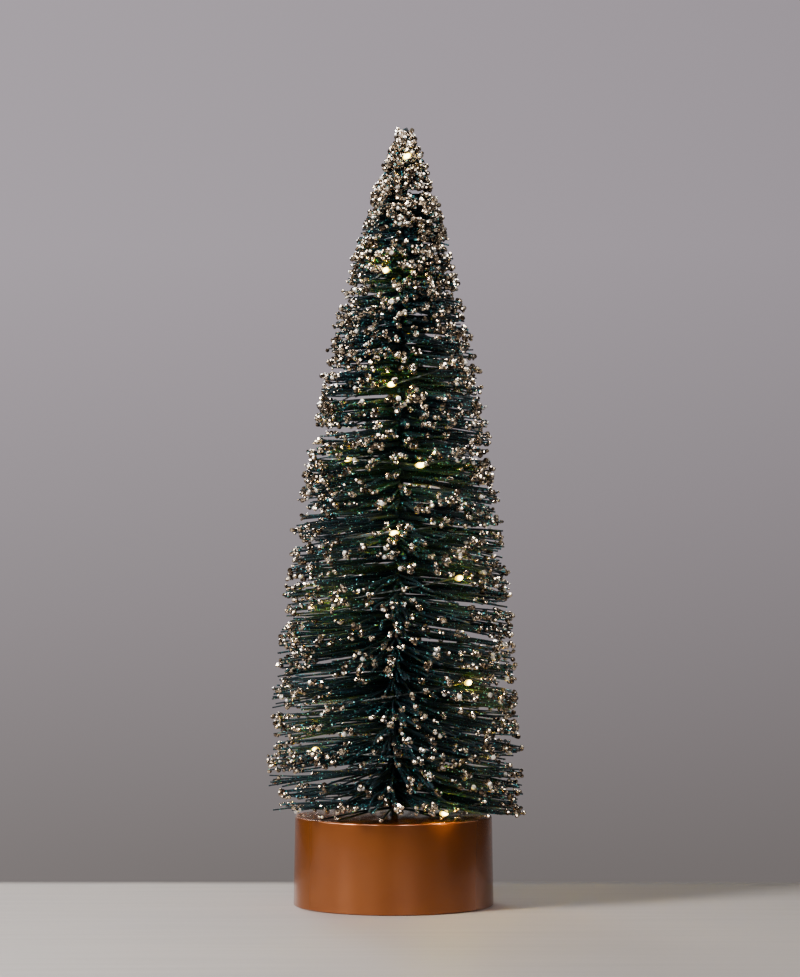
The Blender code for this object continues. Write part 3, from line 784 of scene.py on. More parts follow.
def sleeve_finish(colour):
    """Printed film on a battery, plain bands only, with bare metal where it ends."""
    made, nodes, shader = finish_material("cell_sleeve", colour, 0.24, 0.3)
    along = attribute(nodes, "along")
    first, last, band_start = 0.03, 0.955, 0.70
    ends = [nodes.math("LESS_THAN", along, first), nodes.math("GREATER_THAN", along, last)]
    bare = nodes.math("MAXIMUM", *ends)
    past_start = nodes.math("GREATER_THAN", along, band_start)
    band = nodes.times(past_start, nodes.math("LESS_THAN", along, last))
    film = blended(nodes, band, colour, (0.62, 0.33, 0.07))
    nodes.put(shader.inputs["Base Color"], blended(nodes, bare, film, (0.66, 0.65, 0.62)))
    nodes.put(shader.inputs["Metallic"], nodes.span(bare, 0, 1, 0.3, 1.0))
    scuffs = noise(nodes, object_place(nodes), 420, 4)
    nodes.put(shader.inputs["Roughness"], nodes.span(scuffs, 0.3, 0.7, 0.2, 0.34))
    return made


def cells_tree(material):
    nodes = GrowTree("Cells", [GEOMETRY, ("Cell", "Object")])
    turn = nodes.rotation(nodes.combine(0, nodes.mark("turn"), 0))
    return nodes.finish(nodes.scattered(nodes["Geometry"], nodes.shape("Cell"), turn), material)


def marked_points(name, places, **marks):
    """A mesh of loose points, with a number of each kind kept on each."""
    mesh = bpy.data.meshes.new(name)
    mesh.from_pydata([tuple(place) for place in places], [], [])
    for label, values in marks.items():
        mesh.attributes.new(label, "FLOAT", "POINT").data.foreach_set("value", list(values))
    return mesh


def copied(name, shape_mesh, label, tree, points, values=()):
    """The plain mesh of a shape set on each point, by a tree that takes the shape as an input."""
    shape = new_object(label.lower(), shape_mesh)
    made = grown(name, tree, {label: shape, **dict(values)}, points)
    bpy.data.objects.remove(shape)
    return made


def cell_rows():
    """For each battery, the middle of its flat end, and which way its button points."""
    for number, name in enumerate(CELLS, 1):
        low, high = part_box(name)
        direction = 1 if number % 2 else -1
        middle = (low + high) / 2
        yield Vector((low.x if direction > 0 else high.x, middle.y, middle.z)), direction


class TREE_OT_batteries(bpy.types.Operator):
    """Makes the three batteries"""

    bl_idname = "bottle_brush.batteries"
    bl_label = "Batteries"

    def execute(self, context):
        inside = settings().inside
        radius, button = inside.cell_diameter / 2, inside.button_diameter / 2
        shoulder = inside.cell_length - inside.button_length
        rounding = 0.0007
        profile = [
            (0, 0),
            (radius - 2 * rounding, 0),
            (radius - rounding, 0.0001),
            (radius - 0.3 * rounding, 0.3 * rounding),
            (radius, rounding),
            (radius, shoulder - rounding),
            (radius - 0.3 * rounding, shoulder - 0.3 * rounding),
            (radius - rounding, shoulder),
            (button + 0.0003, shoulder - 0.0002),
            (button, shoulder),
            (button - 0.0001, inside.cell_length - 0.0003),
            (button - 0.0004, inside.cell_length),
            (0, inside.cell_length),
        ]
        mesh = turned_mesh("cell", profile, 48)
        along = mesh.attributes.new("along", "FLOAT", "POINT")
        along.data.foreach_set("value", [v.co.z / inside.cell_length for v in mesh.vertices])
        smooth_by_angle(mesh, radians(40))
        rows = list(cell_rows())
        turns = [direction * pi / 2 for _, direction in rows]
        points = marked_points("cell_points", [place for place, _ in rows], turn=turns)
        tree = cells_tree(sleeve_finish(tuple(inside.sleeve)))
        made = copied("battery_cells", mesh, "Cell", tree, points)
        smooth_by_angle(made, radians(40))
        add_piece("battery_cells", made, stands_for=CELLS)
        return {"FINISHED"}


def springs_tree(material):
    floats = sockets("Float", "Wire", "Turns", "Length", "Radius", "Tip Radius")
    nodes = GrowTree("Springs", [GEOMETRY, *floats])
    values = {
        "Resolution": 28,
        "Rotations": nodes["Turns"],
        "Start Radius": nodes["Radius"],
        "End Radius": nodes["Tip Radius"],
        "Height": nodes["Length"],
    }
    spiral = nodes.node("GeometryNodeCurveSpiral", values).outputs[0]
    coil = nodes.tube(spiral, nodes.times(nodes["Wire"], 0.5), 10)
    turn = nodes.rotation(nodes.combine(0, nodes.mark("turn"), 0))
    return nodes.finish(nodes.scattered(nodes["Geometry"], coil, turn), material)


class TREE_OT_springs(bpy.types.Operator):
    """Makes the three contact springs and finishes the contact plates"""

    bl_idname = "bottle_brush.springs"
    bl_label = "Contacts"

    def execute(self, context):
        inside = settings().inside
        nickel = worn_metal("nickel", (0.66, 0.63, 0.58), 0.22)
        boxes = [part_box(name) for name in SPRINGS]
        rows = list(cell_rows())
        half = inside.spring_wire / 2
        places = []
        for (low, high), (_, direction) in zip(boxes, rows):
            x = low.x + half if direction > 0 else high.x - half
            places.append((x, (low.y + high.y) / 2, rows[0][0].z))
        turns = [direction * pi / 2 for _, direction in rows]
        points = marked_points("spring_points", places, turn=turns)
        low, high = boxes[0]
        values = {
            "Wire": inside.spring_wire,
            "Turns": float(inside.spring_turns),
            "Length": high.x - low.x - inside.spring_wire,
            "Radius": inside.spring_radius,
            "Tip Radius": inside.spring_tip,
        }
        made = grown("contact_springs", springs_tree(nickel), values, points)
        add_piece("contact_springs", made, stands_for=SPRINGS)
        refinish(nickel, *PLATES)
        return {"FINISHED"}


def screws_tree(material):
    nodes = GrowTree("Screws", [GEOMETRY, ("Screw", "Object"), ("Seed", "Int")])
    turn = nodes.combine(0, 0, nodes.random(0, tau, nodes.index(), nodes["Seed"]))
    made = nodes.scattered(nodes["Geometry"], nodes.shape("Screw"), nodes.rotation(turn))
    return nodes.finish(made, material)


class TREE_OT_screws(bpy.types.Operator):
    """Makes the four cover screws"""

    bl_idname = "bottle_brush.screws"
    bl_label = "Screws"

    def execute(self, context):
        head, shank, head_height = 0.0024, 0.0011, 0.0016
        low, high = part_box(SCREWS[0])
        length = high.z - low.z
        profile = [
            (0, 0),
            (head * 0.55, 0.00008),
            (head * 0.85, 0.0003),
            (head, 0.0007),
            (head, head_height - 0.0002),
            (head - 0.0002, head_height),
            (shank, head_height),
        ]
        thread = 0.0007
        for k in range(int((length - head_height - 0.001) / thread)):
            z = head_height + 0.0003 + k * thread
            profile += [(shank, z + 0.0002), (shank - 0.00022, z + thread / 2)]
        profile += [(shank * 0.9, length - 0.0006), (shank * 0.3, length), (0, length)]
        slots = []
        for size in ((2 * shank, SLOT_WIDTH, SLOT_DEPTH), (SLOT_WIDTH, 2 * shank, SLOT_DEPTH)):
            bm = bmesh.new()
            bmesh.ops.create_cube(bm, size=1, matrix=Matrix.Diagonal((*size, 1)))
            slots.append(mesh_of("slot", bm))
        mesh = carved("screw", turned_mesh("screw_blank", profile, 32), (), slots)
        places = []
        for name in SCREWS:
            low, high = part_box(name)
            places.append(((low.x + high.x) / 2, (low.y + high.y) / 2, low.z))
        tree = screws_tree(worn_metal("screw_steel", (0.56, 0.55, 0.53), 0.28))
        points = marked_points("screw_points", places)
        made = copied("cover_screws", mesh, "Screw", tree, points, {"Seed": SCREW_SEED})
        smooth_by_angle(made, radians(35))
        add_piece("cover_screws", made, stands_for=SCREWS)
        return {"FINISHED"}


def board_finish():
    """Green lacquer with pale copper tracks under it."""
    made, nodes, shader = finish_material("board_lacquer", (0.01, 0.10, 0.04), 0.3)
    values = {"Vector": object_place(nodes), "Scale": 420, "Randomness": 0.0}
    cells = nodes.node("ShaderNodeTexVoronoi", values, feature="DISTANCE_TO_EDGE")
    tracks = nodes.math("LESS_THAN", cells.outputs["Distance"], 0.06)
    lacquer = blended(nodes, tracks, (0.008, 0.09, 0.035), (0.03, 0.20, 0.07))
    nodes.put(shader.inputs["Base Color"], lacquer)
    bumped(nodes, shader, tracks, 0.00003, 0.5)
    return made


def glue_finish():
    """Set hot glue: cloudy, with a lumpy skin."""
    made, nodes, shader = finish_material("hot_glue", (0.70, 0.66, 0.55), 0.3)
    lumps = noise(nodes, object_place(nodes), 420, 3)
    cloudy = blended(nodes, lumps, (0.60, 0.56, 0.46), (0.78, 0.75, 0.66))
    nodes.put(shader.inputs["Base Color"], cloudy)
    shader.inputs["Subsurface Weight"].default_value = 0.2
    bumped(nodes, shader, lumps, 0.0003, 0.7)
    return made


def lead_finish(name, colour):
    """Soft vinyl on a hookup wire."""
    made, nodes, shader = finish_material(name, colour, 0.4)
    drawn = noise(nodes, object_place(nodes), 900, 3)
    nodes.put(shader.inputs["Base Color"], blended(nodes, drawn, shade(colour, 0.75), colour))
    bumped(nodes, shader, drawn, 0.00004, 0.5)
    return made


def resistor_finish():
    """Tan lacquer with plain painted rings across the body."""
    tan, ring = (0.55, 0.36, 0.18), (0.16, 0.03, 0.02)
    made, nodes, shader = finish_material("resistor_lacquer", tan, 0.35)
    across = nodes.node("ShaderNodeSeparateXYZ", {0: object_place(nodes)}).outputs["Y"]
    rings = nodes.math("GREATER_THAN", nodes.math("SINE", nodes.times(across, 4200)), 0.45)
    nodes.put(shader.inputs["Base Color"], blended(nodes, rings, tan, ring))
    return made


class TREE_OT_circuit(bpy.types.Operator):
    """Finishes the switch, the board and the wires to it"""

    bl_idname = "bottle_brush.circuit"
    bl_label = "Switch and Board"

    def execute(self, context):
        switch = moulded_plastic("switch_plastic", (0.03, 0.03, 0.032), 0.38)
        refinish(switch, "switch_housing", "switch_slider")
        refinish(moulded_plastic("chip_plastic", (0.018, 0.018, 0.018), 0.55), "timer_chip")
        refinish(board_finish(), "switch_board")
        refinish(resistor_finish(), "resistor")
        refinish(lead_finish("red_vinyl", (0.42, 0.012, 0.012)), "red_wire")
        refinish(lead_finish("black_vinyl", (0.012, 0.012, 0.012)), "black_wire")
        refinish(glue_finish(), "stem_glue")
        return {"FINISHED"}


# The trunk and its bristles


def flocked_finish(name, colour, glitter):
    """Dark flocked wire with grains of glitter all over it, some of the grains painted light cyan as
    glints.
    """
    made, nodes, shader = finish_material(name, colour, 0.5)
    place = object_place(nodes)
    cells = nodes.node("ShaderNodeTexVoronoi", {"Vector": place, "Scale": 2100})
    pick = nodes.node("ShaderNodeSeparateColor", {0: cells.outputs["Color"]})
    near = nodes.math("LESS_THAN", cells.outputs["Distance"], 0.33)
    grain = nodes.times(nodes.math("GREATER_THAN", pick.outputs[0], 0.72), near)
    # Painted glints: some of the glitter grains are light cyan under any light
    painted_glint_grains = nodes.times(nodes.math("GREATER_THAN", pick.outputs[1], 0.86), grain)
    cloud = noise(nodes, place, 120, 2)
    flock = blended(nodes, cloud, shade(colour, 0.6), shade(colour, 1.5))
    toned = blended(nodes, grain, flock, shade(glitter, 0.45))
    nodes.put(shader.inputs["Base Color"], blended(nodes, painted_glint_grains, toned, (0.35, 0.75, 0.70)))
    nodes.put(shader.inputs["Metallic"], nodes.span(grain, 0, 1, 0.0, 0.6))
    nodes.put(shader.inputs["Roughness"], nodes.span(grain, 0, 1, 0.62, 0.25))
    shader.inputs["Specular IOR Level"].default_value = 0.22
    bumped(nodes, shader, nodes.minus(1.0, cells.outputs["Distance"]), 0.0002, 0.6)
    return made


def trunk_tree(material):
    floats = sockets("Float", "Wire Radius", "Offset", "Pitch", "Length", "Start")
    nodes = GrowTree("Twisted Trunk", [GEOMETRY, *floats])
    values = {
        "Resolution": 20,
        "Rotations": nodes.over(nodes["Length"], nodes["Pitch"]),
        "Start Radius": nodes["Offset"],
        "End Radius": nodes["Offset"],
        "Height": nodes["Length"],
    }
    spiral = nodes.node("GeometryNodeCurveSpiral", values).outputs[0]
    wire = nodes.tube(spiral, nodes["Wire Radius"], 12)
    turn = nodes.combine(0, 0, nodes["Start"])
    placed = nodes.node("GeometryNodeTransform", {0: wire, "Rotation": turn}).outputs[0]
    return nodes.finish(placed, material)


class TREE_OT_trunk(bpy.types.Operator):
    """Makes the two twisted wires of the trunk"""

    bl_idname = "bottle_brush.trunk"
    bl_label = "Trunk"

    def execute(self, context):
        trunk, brush, base = settings().trunk, settings().brush, settings().base
        material = flocked_finish("trunk_flock", tuple(brush.colour), tuple(brush.glitter))
        nodes = trunk_tree(material)
        offset = trunk.strand_radius + trunk.gap / 2
        placed = lean_matrix() @ Matrix.Translation((0, 0, trunk.foot - base.height))
        for side, start in (("left", 0.0), ("right", pi)):
            values = {
                "Wire Radius": trunk.strand_radius * 0.985,
                "Offset": offset,
                "Pitch": trunk.pitch,
                "Length": trunk.tip - trunk.foot,
                "Start": start,
            }
            mesh = grown(f"trunk_twist_{side}", nodes, values)
            mesh.transform(placed)
            replaced = [f"trunk_wire_{side}"]
            add_piece(f"trunk_twist_{side}", mesh, stands_for=replaced)
        return {"FINISHED"}


BRUSH_INPUTS = [
    *sockets("Int", "Count"),
    *sockets("Float", "Bottom", "Top", "Tip", "Radius", "Fullness", "Bluntness"),
    *sockets("Float", "Pitch", "Spread", "Droop", "Unevenness"),
    *sockets("Float", "Base Height", "Base Radius", "Lean"),
    *sockets("Int", "Seed"),
]


def bristle_line():
    """A group that gives a point on a bristle: which bristle, and how far along it."""
    inputs = [("Bristle", "Int"), ("Along", "Float"), *BRUSH_INPUTS]
    outputs = [("Position", "Vector"), *sockets("Float", "Height", "Reach")]
    nodes = GrowTree("Bristle Line", inputs, outputs)
    bristle, along, seed = nodes["Bristle"], nodes["Along"], nodes["Seed"]

    def own(low, high, step):
        """A bristle's own random number. Every draw has a step of its own."""
        return nodes.random(low, high, bristle, nodes.plus(seed, step))

    side = nodes.math("MODULO", bristle, 2)
    bunch = nodes.plus(nodes.times(nodes.math("FLOOR", nodes.over(bristle, BUNCH)), 2), side)

    def shared(low, high, step):
        """A random number that a whole bunch has."""
        return nodes.random(low, high, bunch, nodes.plus(seed, step))

    # How far up it is rooted, and how far out it reaches
    share = nodes.over(nodes.plus(bristle, own(0, 1, 1)), nodes["Count"])
    height = nodes.span(share, 0, 1, nodes["Bottom"], nodes["Top"])
    level = nodes.span(height, nodes["Bottom"], nodes["Tip"], 0, 1)
    narrowing = nodes.minus(1, nodes.math("POWER", level, nodes["Fullness"]))
    outline = nodes.times(nodes.math("POWER", narrowing, nodes["Bluntness"]), nodes["Radius"])
    cut = nodes.times(nodes.math("POWER", own(0, 1, 2), 3), DEEPEST_CUT)
    evenly = nodes.plus(FULL_REACH, own(-UNEVEN_REACH, UNEVEN_REACH, 3))
    reach = nodes.math("MAXIMUM", nodes.times(outline, nodes.minus(evenly, cut)), LEAST_REACH)

    # Which way it points
    twist = nodes.times(nodes.over(height, nodes["Pitch"]), tau)
    angle = nodes.plus(twist, nodes.times(side, pi))
    angle = nodes.plus(angle, nodes.times(shared(-1, 1, 4), nodes["Spread"]))
    angle = nodes.plus(angle, own(-OWN_TURN, OWN_TURN, 5))
    sweep = nodes.plus(shared(-BUNCH_SWEEP, BUNCH_SWEEP, 6), own(-OWN_SWEEP, OWN_SWEEP, 7))
    angle = nodes.plus(angle, nodes.times(sweep, along))

    # How it falls. The lowest ones can't fall further than the base's top lets them, and in front
    # they stand off it
    slope = nodes.plus(nodes["Droop"], nodes.times(shared(-1, 1, 8), nodes["Unevenness"]))
    slope = nodes.plus(slope, own(-OWN_SLOPE, OWN_SLOPE, 9))
    lift = nodes.times(nodes.math("MAXIMUM", nodes.math("COSINE", angle), 0), FRONT_LIFT)
    above_base = nodes.minus(height, nodes["Base Height"])
    room = nodes.minus(above_base, nodes.plus(lift, TOP_CLEARANCE))
    slope = nodes.math("MINIMUM", slope, nodes.over(room, nodes["Base Radius"]))
    out = nodes.plus(ROOT_OUT, nodes.times(along, nodes.minus(reach, ROOT_OUT)))
    sag = nodes.plus(ROOT_SAG, nodes.times(along, END_SAG))
    fall = nodes.times(nodes.times(slope, out), sag)

    phase = nodes.plus(nodes.times(along, WAVES), own(0, tau, 10))
    wander = nodes.times(nodes.math("SINE", phase), own(LEAST_WAVE, MOST_WAVE, 11))
    rise = nodes.plus(nodes.minus(above_base, fall), nodes.times(wander, along))
    x = nodes.times(out, nodes.math("SINE", angle))
    y = nodes.times(out, nodes.times(nodes.math("COSINE", angle), -1))
    upright = nodes.combine(x, y, rise)
    values = {"Vector": upright, "Angle": nodes["Lean"]}
    leaned = nodes.node("ShaderNodeVectorRotate", values, rotation_type="Y_AXIS").outputs[0]
    placed = nodes.vector("ADD", leaned, nodes.combine(0, 0, nodes["Base Height"]))
    nodes.put(nodes.result.inputs["Position"], placed)
    nodes.put(nodes.result.inputs["Height"], height)
    nodes.put(nodes.result.inputs["Reach"], reach)
    return nodes


def on_bristle(nodes, line, bristle, along):
    """A point on a bristle, with the tree's own inputs passed on to the group."""
    made = nodes.tree.nodes.new("GeometryNodeGroup")
    made.node_tree = line.tree
    nodes.put(made.inputs["Bristle"], bristle)
    nodes.put(made.inputs["Along"], along)
    for label, _ in BRUSH_INPUTS:
        nodes.put(made.inputs[label], nodes[label])
    return made.outputs


def brush_values():
    brush, trunk, base = settings().brush, settings().trunk, settings().base
    return {
        "Count": brush.count,
        "Bottom": brush.bottom,
        "Top": trunk.tip - HIGHEST_ROOT,
        "Tip": trunk.tip,
        "Radius": brush.radius,
        "Fullness": brush.fullness,
        "Bluntness": brush.bluntness,
        "Pitch": trunk.pitch,
        "Spread": brush.spread,
        "Droop": brush.droop,
        "Unevenness": brush.unevenness,
        "Base Height": base.height,
        "Base Radius": base.radius,
        "Lean": trunk.lean,
        "Seed": brush.seed,
    }


def strands_tree(line, material):
    """Thin tubes along the bristles, from one numbered bristle up to another."""
    inputs = [GEOMETRY, *BRUSH_INPUTS, *sockets("Int", "First", "Number"), ("Thickness", "Float")]
    nodes = GrowTree("Strands", inputs)
    number = nodes.plus(nodes.index(), nodes["First"])
    points = nodes.marked(nodes.points(nodes["Number"]), "bristle", number)
    run = nodes.node("GeometryNodeCurvePrimitiveLine", {1: (1, 0, 0)}).outputs[0]
    run = nodes.node("GeometryNodeResampleCurve", {0: run, 2: STRAND_POINTS}).outputs[0]
    curves = nodes.scattered(points, run)
    bristle = nodes.mark("bristle")
    along = nodes.node("GeometryNodeSplineParameter").outputs["Factor"]
    placed = nodes.moved(curves, on_bristle(nodes, line, bristle, along)["Position"])
    width = nodes.random(0.78, 1.15, bristle, 31)
    taper = nodes.times(width, nodes.span(along, 0.0, 1.0, 1.12, 0.86))
    half = nodes.times(nodes["Thickness"], 0.5)
    return nodes.finish(nodes.tube(placed, half, STRAND_SIDES, taper), material)


def beads_tree(line, material):
    """Beads in a cluster round the end of each bristle rooted in one band of heights."""
    inputs = [
        GEOMETRY,
        *BRUSH_INPUTS,
        *sockets("Int", "First", "Number", "Each"),
        *sockets("Float", "Share", "Smallest", "Largest", "Cluster", "Thickness"),
    ]
    nodes = GrowTree("Bead Clusters", inputs)
    points = nodes.points(nodes.times(nodes["Number"], nodes["Each"]))
    number = nodes.plus(nodes.index(), nodes.times(nodes["First"], nodes["Each"]))
    bristle = nodes.math("FLOOR", nodes.over(number, nodes["Each"]))
    worn = nodes.random(0, 1, bristle, 41)
    line_end = on_bristle(nodes, line, bristle, 1.0)
    # Towards the tip more and more bristles are covered
    top_starts = nodes.minus(nodes["Tip"], BEADED_TOP)
    covered = nodes.span(line_end["Height"], top_starts, nodes["Tip"], nodes["Share"], 1.0)
    kept = nodes.math("LESS_THAN", worn, covered)
    size = nodes.math("POWER", nodes.random(0, 1, number, 42), 1.6)
    radius = nodes.span(size, 0, 1, nodes["Smallest"], nodes["Largest"])
    cover = nodes.times(nodes["Cluster"], nodes.random(0.35, 1.25, bristle, 43))
    back = nodes.times(cover, nodes.math("POWER", nodes.random(0, 1, number, 44), 1.4))
    along = nodes.minus(1.0, nodes.over(back, line_end["Reach"]))
    along = nodes.math("MAXIMUM", along, 0.0)
    middle = on_bristle(nodes, line, bristle, along)["Position"]
    way = nodes.vector("NORMALIZE", nodes.random_vector(-1, 1, number, 45))
    stand = nodes.plus(nodes.times(nodes["Thickness"], 0.35), nodes.times(radius, 0.75))
    placed = nodes.moved(points, nodes.vector("ADD", middle, nodes.scaled(way, stand)))
    toned = nodes.marked(placed, "tone", nodes.random(0, 1, number, 46))
    turn = nodes.rotation(nodes.random_vector(0, tau, number, 47))
    made = nodes.scattered(toned, nodes.ball(7, 5), turn, nodes.even(radius), kept)
    return nodes.finish(made, material, smooth=False)


def flakes_tree(line, material):
    """Small closed flakes of glitter, scattered over the bristles."""
    inputs = [
        GEOMETRY,
        *BRUSH_INPUTS,
        *sockets("Int", "First", "Number"),
        *sockets("Float", "Size", "Thickness"),
    ]
    nodes = GrowTree("Glitter", inputs)
    number = nodes.plus(nodes.index(), nodes["First"])
    bristle = nodes.math("FLOOR", nodes.random(0, nodes["Count"], number, 51))
    along = nodes.math("POWER", nodes.random(0.02, 1, number, 52), 0.75)
    middle = on_bristle(nodes, line, bristle, along)["Position"]
    way = nodes.vector("NORMALIZE", nodes.random_vector(-1, 1, number, 53))
    stand = nodes.times(nodes["Thickness"], 0.46)
    place = nodes.vector("ADD", middle, nodes.scaled(way, stand))
    placed = nodes.moved(nodes.points(nodes["Number"]), place)
    toned = nodes.marked(placed, "tone", nodes.random(0, 1, number, 54))
    values = {"Vertices": 3, "Radius Top": 0.0, "Radius Bottom": 0.6, "Depth": 0.55}
    grain = nodes.node("GeometryNodeMeshCone", values).outputs["Mesh"]
    turn = nodes.rotation(nodes.random_vector(0, tau, number, 55))
    size = nodes.times(nodes["Size"], nodes.random(0.55, 1.3, number, 56))
    made = nodes.scattered(toned, grain, turn, nodes.even(size))
    return nodes.finish(made, material, smooth=False)


def glitter_finish(colour):
    """Teal glitter: mostly deep, and one flake in five painted light cyan as a glint."""
    made, nodes, shader = finish_material("glitter_teal", colour, 0.3, 0.35)
    tone = attribute(nodes, "tone")
    deep = blended(nodes, nodes.span(tone, 0.25, 0.85, 0, 1), shade(colour, 0.10), colour)
    # Painted glints: these flakes are light cyan whatever light falls on them
    painted_glint_flakes = nodes.math("GREATER_THAN", tone, 0.80)
    nodes.put(shader.inputs["Base Color"], blended(nodes, painted_glint_flakes, deep, (0.30, 0.95, 0.88)))
    nodes.put(shader.inputs["Roughness"], nodes.span(tone, 0, 1, 0.2, 0.42))
    return made


def bead_finish(colour):
    """Silvery champagne glass. The darkest beads are painted shade, for the dark that clear glass
    shows, and the whitest are painted light, for the light through it.
    """
    made, nodes, shader = finish_material("bead_glass", colour, 0.12, 0.72)
    tone = attribute(nodes, "tone")
    # Painted shade and light: the dark beads stand for the dark inside clear glass, the white ones for
    # light through it
    painted_shade_brown, painted_light_pale = (0.10, 0.065, 0.035), (0.97, 0.93, 0.86)
    lower = blended(nodes, nodes.span(tone, 0.35, 0.65, 0, 1), painted_shade_brown, colour)
    glass = blended(nodes, nodes.span(tone, 0.90, 0.97, 0, 1), lower, painted_light_pale)
    nodes.put(shader.inputs["Base Color"], glass)
    nodes.put(shader.inputs["Metallic"], nodes.span(tone, 0.90, 0.97, 0.95, 0.55))
    nodes.put(shader.inputs["Roughness"], nodes.span(tone, 0, 1, 0.10, 0.20))
    shader.inputs["Coat Weight"].default_value = 1.0
    shader.inputs["Coat Roughness"].default_value = 0.04
    return made


def fallen_run(reach, turn):
    """From the trunk's foot out to the base's rim, a little bowed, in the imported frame."""
    base = settings().base
    rest = base.height + FALLEN_REST
    start = base.height + FALLEN_RISE
    for k in range(FALLEN_STEPS + 1):
        share = k / FALLEN_STEPS
        out = FALLEN_START + (reach - FALLEN_START) * share
        bow = FALLEN_BOW * sin(pi * share) * (1 - share)
        height = start + (rest - start) * share + bow
        yield Vector((out * sin(tau * turn), -out * cos(tau * turn), height))


def fallen_strands_tree(material):
    nodes = GrowTree("Fallen Strands", [GEOMETRY, ("Thickness", "Float")])
    half = nodes.times(nodes["Thickness"], 0.5)
    return nodes.finish(nodes.tube(nodes["Geometry"], half, STRAND_SIDES), material)


def fallen_beads_tree(material):
    """Beads round each fallen end."""
    sizes = sockets("Float", "Smallest", "Largest")
    nodes = GrowTree("Fallen Beads", [GEOMETRY, ("Each", "Int"), *sizes, ("Seed", "Int")])
    values = {0: nodes["Geometry"], 2: nodes["Each"]}
    ends = nodes.node("GeometryNodeDuplicateElements", values, domain="POINT")
    number = nodes.index()
    radius = nodes.random(nodes["Smallest"], nodes["Largest"], number, nodes["Seed"])
    way = nodes.random_vector(-0.0011, 0.0011, number, nodes.plus(nodes["Seed"], 1))
    aside = nodes.vector("MULTIPLY", way, (1.0, 1.0, 0.45))
    placed = nodes.moved(ends.outputs[0], offset=aside)
    toned = nodes.marked(placed, "tone", nodes.random(0, 1, number, 5))
    made = nodes.scattered(toned, nodes.ball(8, 5), scale=nodes.even(radius))
    return nodes.finish(made, material)


class TREE_OT_fallen(bpy.types.Operator):
    """Makes the few bristles that lie on the base's top"""

    bl_idname = "bottle_brush.fallen"
    bl_label = "Fallen Bristles"

    def execute(self, context):
        brush, beads = settings().brush, settings().beads
        runs = [list(fallen_run(reach, turn)) for reach, turn in FALLEN]
        curve = poly_curve("fallen_runs", runs)
        tree = fallen_strands_tree(bpy.data.materials["bristle_flock"])
        strands = grown("fallen_strands", tree, {"Thickness": brush.thickness}, curve)
        add_piece("fallen_strands", strands)
        values = {
            "Each": FALLEN_BEADS,
            "Smallest": beads.smallest,
            "Largest": beads.largest * 0.8,
            "Seed": brush.seed,
        }
        points = marked_points("fallen_ends", [run[-1] + Vector((0, 0, 0.0009)) for run in runs])
        tree = fallen_beads_tree(bpy.data.materials["bead_glass"])
        add_piece("fallen_beads", grown("fallen_beads", tree, values, points))
        return {"FINISHED"}


class TREE_OT_bristles(bpy.types.Operator):
    """Makes the bristles, and the glitter on them"""

    bl_idname = "bottle_brush.bristles"
    bl_label = "Bristles"

    def execute(self, context):
        brush = settings().brush
        line = bristle_line()
        flock = flocked_finish("bristle_flock", tuple(brush.colour), tuple(brush.glitter))
        values = {**brush_values(), "Thickness": brush.thickness}
        strands = strands_tree(line, flock)
        flakes = flakes_tree(line, glitter_finish(tuple(brush.glitter)))
        parts = 2
        each, grains = brush.count // parts, brush.flakes // parts
        for part in range(parts):
            name = f"bristle_strands_{part + 1}"
            mesh = grown(name, strands, {**values, "First": part * each, "Number": each})
            add_piece(name, mesh, stands_for=[] if part else ["bristles"])
            name = f"bristle_glitter_{part + 1}"
            given = {**values, "First": part * grains, "Number": grains, "Size": brush.flake_size}
            add_piece(name, grown(name, flakes, given))
        return {"FINISHED"}


class TREE_OT_beads(bpy.types.Operator):
    """Makes the clusters of glass beads at the bristles' ends"""

    bl_idname = "bottle_brush.beads"
    bl_label = "Beads"

    def execute(self, context):
        brush, beads = settings().brush, settings().beads
        nodes = beads_tree(bristle_line(), bead_finish(tuple(beads.colour)))
        each = brush.count // beads.bands
        for band in range(beads.bands):
            values = {
                **brush_values(),
                "First": band * each,
                "Number": each,
                "Each": beads.each,
                "Share": beads.share,
                "Smallest": beads.smallest,
                "Largest": beads.largest,
                "Cluster": beads.reach,
                "Thickness": brush.thickness,
            }
            name = f"bead_clusters_{band + 1}"
            add_piece(name, grown(name, nodes, values))
        return {"FINISHED"}


# The string of lights


def brush_radius(height):
    brush, trunk = settings().brush, settings().trunk
    share = min(max((height - brush.bottom) / (trunk.tip - brush.bottom), 0), 1)
    return brush.radius * (1 - share**brush.fullness) ** brush.bluntness


def string_height(turn):
    """Height of the string at a turn, straight from light to light."""
    brush, trunk = settings().brush, settings().trunk
    turn = min(max(turn, LIGHTS[0][0]), LIGHTS[-1][0])
    for (start, low), (end, high) in zip(LIGHTS, LIGHTS[1:]):
        if turn <= end:
            break
    share = low + (high - low) * (turn - start) / (end - start)
    return brush.bottom + share * (trunk.tip - brush.bottom)


def string_point(turn, outwards=0.0):
    """A point of the string in the leaning frame."""
    height = string_height(turn)
    radius = settings().string.depth * brush_radius(height) + outwards
    rise = height - settings().base.height
    return Vector((radius * sin(tau * turn), -radius * cos(tau * turn), rise))


def string_route():
    """The whole string's points in the leaning frame."""
    first, last = LIGHTS[0][0], LIGHTS[-1][0]
    count = round((last - first) * STEPS_IN_TURN)
    return [Vector(point) for point in LEAD_IN] + [
        string_point(first + (last - first) * k / count) for k in range(count + 1)
    ]


